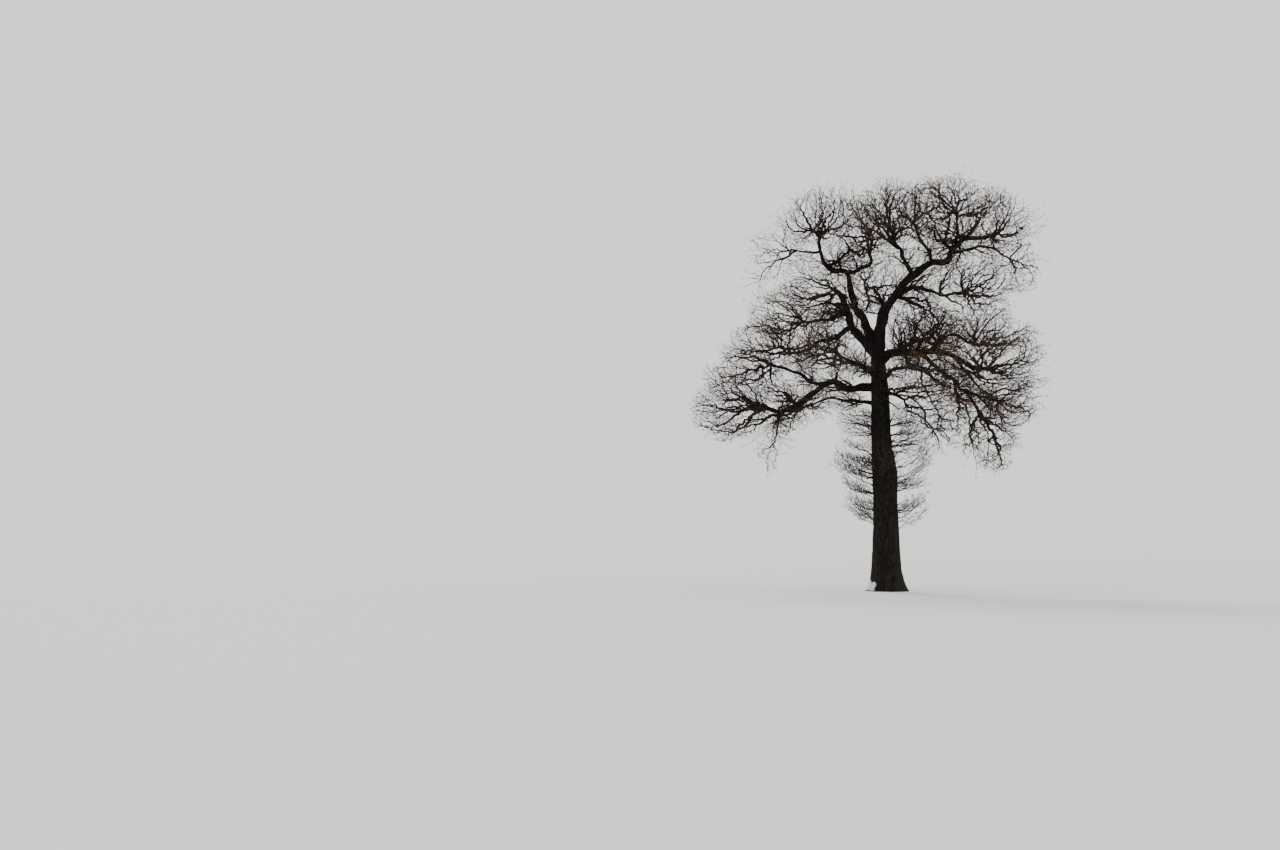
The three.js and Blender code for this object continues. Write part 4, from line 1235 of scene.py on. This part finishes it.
def grow_finer(growth, ends, costs):
    """Finer twigs by the same rule: of all the ends that wait, the cheapest one is next."""
    cost = np.full(len(ends), np.inf)
    origin = np.zeros(len(ends), int)
    waiting = np.ones(len(ends), bool)

    def offer(fork):
        offered = growth.cost(ends, fork, costs)
        better = waiting & (offered < cost)
        cost[better] = offered[better]
        origin[better] = fork

    for fork in range(growth.count):
        offer(fork)
    while waiting.any():
        nearest = int(cost.argmin())
        if growth.twigs[origin[nearest]] >= MOST_TWIGS:
            forks = slice(0, growth.count)
            offered = growth.cost(ends[nearest], forks, costs)
            offered[growth.twigs[forks] >= MOST_TWIGS] = np.inf
            origin[nearest] = offered.argmin()
            cost[nearest] = offered.min()
            continue
        waiting[nearest] = False
        cost[nearest] = np.inf
        offer(growth.add(ends[nearest], origin[nearest]))


def straighten(growth, heirs):
    """Draws each branch out between what it grows from and what it goes on to."""
    forks = np.flatnonzero((growth.parent[: growth.count] >= 0) & (heirs >= 0))
    for _ in range(STRAIGHTENINGS):
        between = (growth.place[growth.parent[forks]] + growth.place[heirs[forks]]) / 2
        growth.place[forks] += STRAIGHTENED * (between - growth.place[forks])


def grow(index, name, mass):
    """Grows a mass: its stem, the twigs of the solids' rule, then finer ones."""
    first = coarse_ends(index, mass)
    first = first[is_free(index, first)]
    finer = finer_ends(index, name, mass)
    foot, along, _ = mass_foot(mass)
    growth = Growth(foot, along, 2 * (len(first) + len(finer)) + SPARE_FORKS)
    grow_stem(growth, index, mass)
    grow_twigs(growth, first, FAN_COSTS if mass.fan else COARSE_COSTS)
    growth.root(*wood_roots(name, mass))
    if mass.fan:
        grow_arms(growth, mass)
    grow_finer(growth, finer, FLAT_COSTS if lies_flat(mass) else FINE_COSTS)
    if lies_flat(mass):
        curve_up(growth, mass)
    return growth


# The shape of a twig: how far it strays sideways, and how far it sags between two fork
# points so that its end turns up, as shares of its length there.
STRAY = 0.15
SAG, FAN_SAG = 0.05, 0.16
TIP_RADIUS, FAN_TIP_RADIUS = 0.009, 0.0065
# Power by which a branch's radius grows with the ends that it carries, and the most that it
# may have of the radius of what it grows from.
THICKENING, THICKEST_SHARE = 0.54, 0.85
# Twigs longer than these get one more bend each.
BEND_LENGTHS = [0.15, 0.34, 0.6, 0.9]
# A spray with no more ends than this has a colour of its own, out of these tints. Wood that
# is thicker than DARK_RADIUS is dark, and thicker wood has more sides.
SPRAY_ENDS = 30
TINTS, FAN_TINT = 3, 2
DARK_RADIUS = 0.013
SIDES_BY_RADIUS = {0.035: 7, 0.016: 5, 0.008: 4, 0: 3}
# Spurs: the last short shoots, straight and pointed. How many stand at the end of a twig and
# at a fork that carries few ends, their lengths and radius, how far they spread and rise.
END_SPURS, FORK_SPURS, FORK_SPUR_ENDS = 4, 2, 6
SPUR_LENGTHS, FAN_SPUR_LENGTHS, SPUR_RADIUS = [0.08, 0.24], [0.12, 0.34], 0.006
SPUR_SPREAD, SPUR_RISE, FAN_SPUR_RISE = 0.6, 0.2, 0.9


class Rods:
    """Tapering rods that are joined into one mesh: rows of places and radii."""

    def __init__(self):
        self.rods = {sides: [] for sides in SIDES_BY_RADIUS.values()}

    def add(self, places, radii, tint):
        sides = next(n for least, n in SIDES_BY_RADIUS.items() if radii[0] >= least)
        self.rods[sides].append((np.array(places), np.array(radii), tint))

    def mesh(self, name):
        corners, faces, tints = [], [], []
        first = 0
        for sides, rods in self.rods.items():
            if not rods:
                continue
            made = rods_mesh(rods, sides)
            corners.append(made[0])
            faces.extend((made[1] + first).tolist())
            tints.append(made[2])
            first += len(made[0])
        mesh = bpy.data.meshes.new(name)
        mesh.from_pydata(np.concatenate(corners), [], faces)
        mesh.polygons.foreach_set("material_index", np.concatenate(tints))
        mesh.polygons.foreach_set("use_smooth", np.ones(len(mesh.polygons), bool))
        mesh.update()
        return mesh


def rod_corners(places, radii, starts, ends, sides):
    """A ring of corners round each place, whose rod goes from place start to place end."""
    order = np.arange(len(places))
    heading = places[np.minimum(order + 1, ends)] - places[np.maximum(order - 1, starts)]
    heading /= np.linalg.norm(heading, axis=1)[:, None] + 1e-12
    whole = np.abs(places[ends] - places[starts])
    across = np.cross(np.eye(3)[whole.argmin(1)], heading)
    across /= np.linalg.norm(across, axis=1)[:, None] + 1e-12
    up = np.cross(heading, across)
    angles = np.arange(sides) / sides * 2 * math.pi
    ring = across[:, None] * np.cos(angles)[:, None] + up[:, None] * np.sin(angles)[:, None]
    return (places[:, None] + radii[:, None, None] * ring).reshape(-1, 3)


def rod_walls(here, pointed, sides):
    """Two triangles on each side from a ring to the next one, or one triangle to a point. One
    corner stands for the whole ring at a point."""
    side = np.arange(sides)
    a = here[:, None] * sides + side
    b = here[:, None] * sides + (side + 1) % sides
    point = (here[:, None] + 1) * sides
    above_a = np.where(pointed[:, None], point, a + sides)
    above_b = np.where(pointed[:, None], point, b + sides)
    lower = np.stack([a, b, above_b], 2).reshape(-1, 3)
    upper = np.stack([a, above_b, above_a], 2).reshape(-1, 3)
    return lower, upper[np.repeat(~pointed, sides)]


def rods_mesh(rods, sides):
    """Corners, triangles and tints of pointed rods that all have this many sides."""
    places = np.concatenate([rod[0] for rod in rods])
    radii = np.concatenate([rod[1] for rod in rods])
    tint = np.array([rod[2] for rod in rods])
    lengths = np.array([len(rod[0]) for rod in rods])
    number = np.repeat(np.arange(len(rods)), lengths)
    ends = np.cumsum(lengths) - 1
    starts = ends - lengths + 1
    corners = rod_corners(places, radii, starts[number], ends[number], sides)
    order = np.arange(len(places))
    here = order[order != ends[number]]
    pointed = here + 1 == ends[number[here]]
    lower, upper = rod_walls(here, pointed, sides)
    caps = np.stack([np.tile([0, k + 1, k], (len(rods), 1)) for k in range(1, sides - 1)], 1)
    caps = (caps + (starts * sides)[:, None, None]).reshape(-1, 3)
    lower_tint = np.repeat(np.where(radii[here] > DARK_RADIUS, 0, tint[number[here]]), sides)
    upper_tint = lower_tint[np.repeat(~pointed, sides)]
    face_tints = np.concatenate([lower_tint, upper_tint, np.repeat(tint, sides - 2)])
    used, faces = np.unique(np.concatenate([lower, upper, caps]), return_inverse=True)
    return corners[used], faces.reshape(-1, 3), face_tints


def family(growth):
    """How many ends each fork point carries, and its children, the strongest one first."""
    carried = np.zeros(growth.count, int)
    children = [[] for _ in range(growth.count)]
    for fork in np.flatnonzero(growth.parent[: growth.count] >= 0)[::-1]:
        carried[fork] = max(carried[fork], 1)
        carried[growth.parent[fork]] += carried[fork]
        children[growth.parent[fork]].append(fork)
    for twigs in children:
        twigs.sort(key=lambda child: -carried[child])
    return carried, children


def carry_on(places, radii, here, here_radius, sag, chance):
    """Carries a rod on to its next fork point, with bends on the way, and says which way."""
    before, before_radius = places[-1], radii[-1]
    step = here - before
    length = np.linalg.norm(step)
    bends = sum(length > least for least in BEND_LENGTHS)
    stray = chance.normal(0, STRAY * length / max(bends, 1), (bends, 3))
    for bend in range(1, bends + 1):
        t = bend / (bends + 1)
        place = before + step * t + stray[bend - 1]
        place[2] -= sag * length * 4 * t * (1 - t)
        places.append(place)
        radii.append(before_radius + (here_radius - before_radius) * t)
    places.append(here)
    radii.append(here_radius)
    return step / (length + 1e-9)


def first_rods(mass, growth, radius, children):
    """Start, radius, first fork point and spray of the rods on the stem and on the wood."""
    _, along, foot_radius = mass_foot(mass)
    rods = [(growth.place[0] - along * STEM_SUNK, foot_radius, 1, 0)]
    for fork in np.flatnonzero(growth.parent[1 : growth.count] < 0) + 1:
        for child in children[fork]:
            child_radius = min(radius[child], THICKEST_SHARE * growth.limb_radius[fork])
            rods.append((growth.place[fork], child_radius, child, len(rods)))
    return rods


def add_twigs(rods, index, mass, growth):
    """Draws a grown mass. Each rod goes on from a fork point through the child that carries
    most, and the other children start rods of their own inside it."""
    chance = np.random.default_rng(index)
    carried, children = family(growth)
    straighten(growth, np.array([twigs[0] if twigs else -1 for twigs in children]))
    tip_radius = FAN_TIP_RADIUS if mass.fan else TIP_RADIUS
    radius = tip_radius * np.maximum(carried, 1) ** THICKENING
    radius = np.minimum(radius, mass_foot(mass)[2])
    sag = FAN_SAG if lies_flat(mass) else SAG
    waiting = first_rods(mass, growth, radius, children)
    sprays = len(waiting) - 1
    while waiting:
        start, start_radius, fork, spray = waiting.pop()
        tint = FAN_TINT if mass.fan else 1 + (spray + index) % TINTS
        places, radii = [start], [start_radius]
        while fork is not None:
            here = growth.place[fork]
            heirs = children[fork]
            here_radius = min(radius[heirs[0]], radii[-1]) if heirs else SPUR_RADIUS
            along = carry_on(places, radii, here, here_radius, sag, chance)
            for child in heirs[1:]:
                child_spray = spray
                if carried[child] <= SPRAY_ENDS < carried[growth.parent[child]]:
                    sprays += 1
                    child_spray = sprays
                child_radius = min(radius[child], THICKEST_SHARE * radii[-2])
                waiting.append((here, child_radius, child, child_spray))
            if carried[fork] <= FORK_SPUR_ENDS:
                spurs = FORK_SPURS if heirs else END_SPURS
                add_spurs(rods, chance, here, along, spurs, lies_flat(mass), tint)
            fork = heirs[0] if heirs else None
        rods.add(places, radii, tint)


def add_spurs(rods, chance, foot, along, count, is_flat, tint):
    """Short pointed shoots that spread from the end of a twig."""
    headings = along + SPUR_SPREAD * chance.normal(0, 1, (count, 3))
    headings[:, 2] += FAN_SPUR_RISE if is_flat else SPUR_RISE
    headings /= np.linalg.norm(headings, axis=1)[:, None]
    lengths = chance.uniform(*(FAN_SPUR_LENGTHS if is_flat else SPUR_LENGTHS), count)
    tips = foot + headings * lengths[:, None]
    for tip in tips[in_reach(tips, SPURS_PROUD)]:
        rods.add([foot, tip], [SPUR_RADIUS, 0], tint)


def branch_material():
    material, shader, wire = new_material("branch_bark", Roughness=0.9, Specular_IOR_Level=0.15)
    colour = noise_wire(wire, 6, 4).blend((0.010, 0.007, 0.005, 1), (0.032, 0.023, 0.016, 1))
    connect(shader, "Base Color", colour)
    return material


def twig_material(name, dark, pale):
    material, shader, wire = new_material(name, Roughness=0.75, Specular_IOR_Level=0.2)
    mottle = noise_wire(wire, 9, 3)
    connect(shader, "Base Color", mottle.blend(dark, pale))
    connect(shader, "Roughness", 0.65 + 0.25 * mottle)
    return material


# The rusty and ochre tints, which colour the wood thinner than DARK_RADIUS, are partly the twigs' own
# brown and partly painted backlight: the warm golden glow of thin twigs lit from behind.
TWIG_MATERIALS = [
    branch_material(),
    twig_material("twig_rusty_with_painted_backlight", (0.045, 0.020, 0.009, 1), (0.100, 0.045, 0.018, 1)),
    twig_material("twig_brown", (0.024, 0.014, 0.008, 1), (0.056, 0.030, 0.014, 1)),
    twig_material("twig_ochre_with_painted_backlight", (0.048, 0.027, 0.013, 1), (0.110, 0.062, 0.028, 1)),
]
TWIG_PIECES = {
    "twigs_low_left": ["left_low", "left_upper", "left_under", "left_hanging"],
    "twigs_middle_left": ["left_crest", "left_shelf", "left_ray"],
    "twigs_front_and_back_left": ["front_left", "back_left"],
    "twigs_crown_left": ["top_left", "far_left", "top_middle", "centre_back"],
    "twigs_crown_middle": ["top_centre", "top_crest"],
    "twigs_crown_right": ["top_right", "right_crest", "far_right"],
    "twigs_middle_right": ["right_middle", "right_arch"],
    "twigs_front_and_back_right": ["front_right", "right_back"],
    "twigs_low_right": ["right_long", "right_drooping", "right_low", "right_inner"],
    "young_shoots": [name for name in MASSES if name.startswith("shoots")],
}


for piece_name, members in TWIG_PIECES.items():
    rods = Rods()
    for name in members:
        index = list(MASSES).index(name)
        add_twigs(rods, index, MASSES[name], grow(index, name, MASSES[name]))
    piece = new_object(piece_name, rods.mesh(piece_name))
    for material in TWIG_MATERIALS:
        piece.data.materials.append(material)
    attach(piece, "root")
    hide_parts(*[f"twigs_{name}" for name in members])


# Ground, light and camera. A pale floor, a bright overcast sky and one large soft lamp, seen
# from eye height at fifty metres with the lens that gives the tree its size in the picture.
FLOOR_SIZE, FLOOR_DROP = 600, 0.002
SKY_COLOUR, SKY_STRENGTH = (0.90, 0.90, 0.89, 1), 1.4
LAMP_TILT, LAMP_TURN, LAMP_STRENGTH, LAMP_SOFTNESS = -50, 25, 1.5, 20
EYE, EYE_TILT, EYE_TURN = (0, -50, 1.65), 5.79, 11.31
IMAGE_WIDTH, FOCAL_PIXELS, SENSOR_WIDTH = 1280, 1226, 36

bpy.ops.mesh.primitive_plane_add(size=FLOOR_SIZE, location=(0, 0, -FLOOR_DROP))
floor = bpy.context.object
floor.name = "floor"
floor_material, _, _ = new_material("floor", Base_Color=(0.75, 0.74, 0.72, 1), Roughness=0.9)
floor.data.materials.append(floor_material)

world = bpy.data.worlds.new("sky")
world.use_nodes = True
world.node_tree.nodes["Background"].inputs["Color"].default_value = SKY_COLOUR
world.node_tree.nodes["Background"].inputs["Strength"].default_value = SKY_STRENGTH
bpy.context.scene.world = world

lamp_angles = (math.radians(LAMP_TILT), 0, math.radians(LAMP_TURN))
bpy.ops.object.light_add(type="SUN", location=(0, 0, 30), rotation=lamp_angles)
lamp = bpy.context.object
lamp.name = "soft_lamp"
lamp.data.energy = LAMP_STRENGTH
lamp.data.angle = math.radians(LAMP_SOFTNESS)

camera_data = bpy.data.cameras.new("camera")
camera = new_object("camera", camera_data)
camera.location = EYE
camera.rotation_euler = (math.radians(90 + EYE_TILT), 0, math.radians(EYE_TURN))
camera_data.sensor_width = SENSOR_WIDTH
camera_data.lens = FOCAL_PIXELS / IMAGE_WIDTH * SENSOR_WIDTH
camera_data.clip_end = 1000
bpy.context.scene.camera = camera
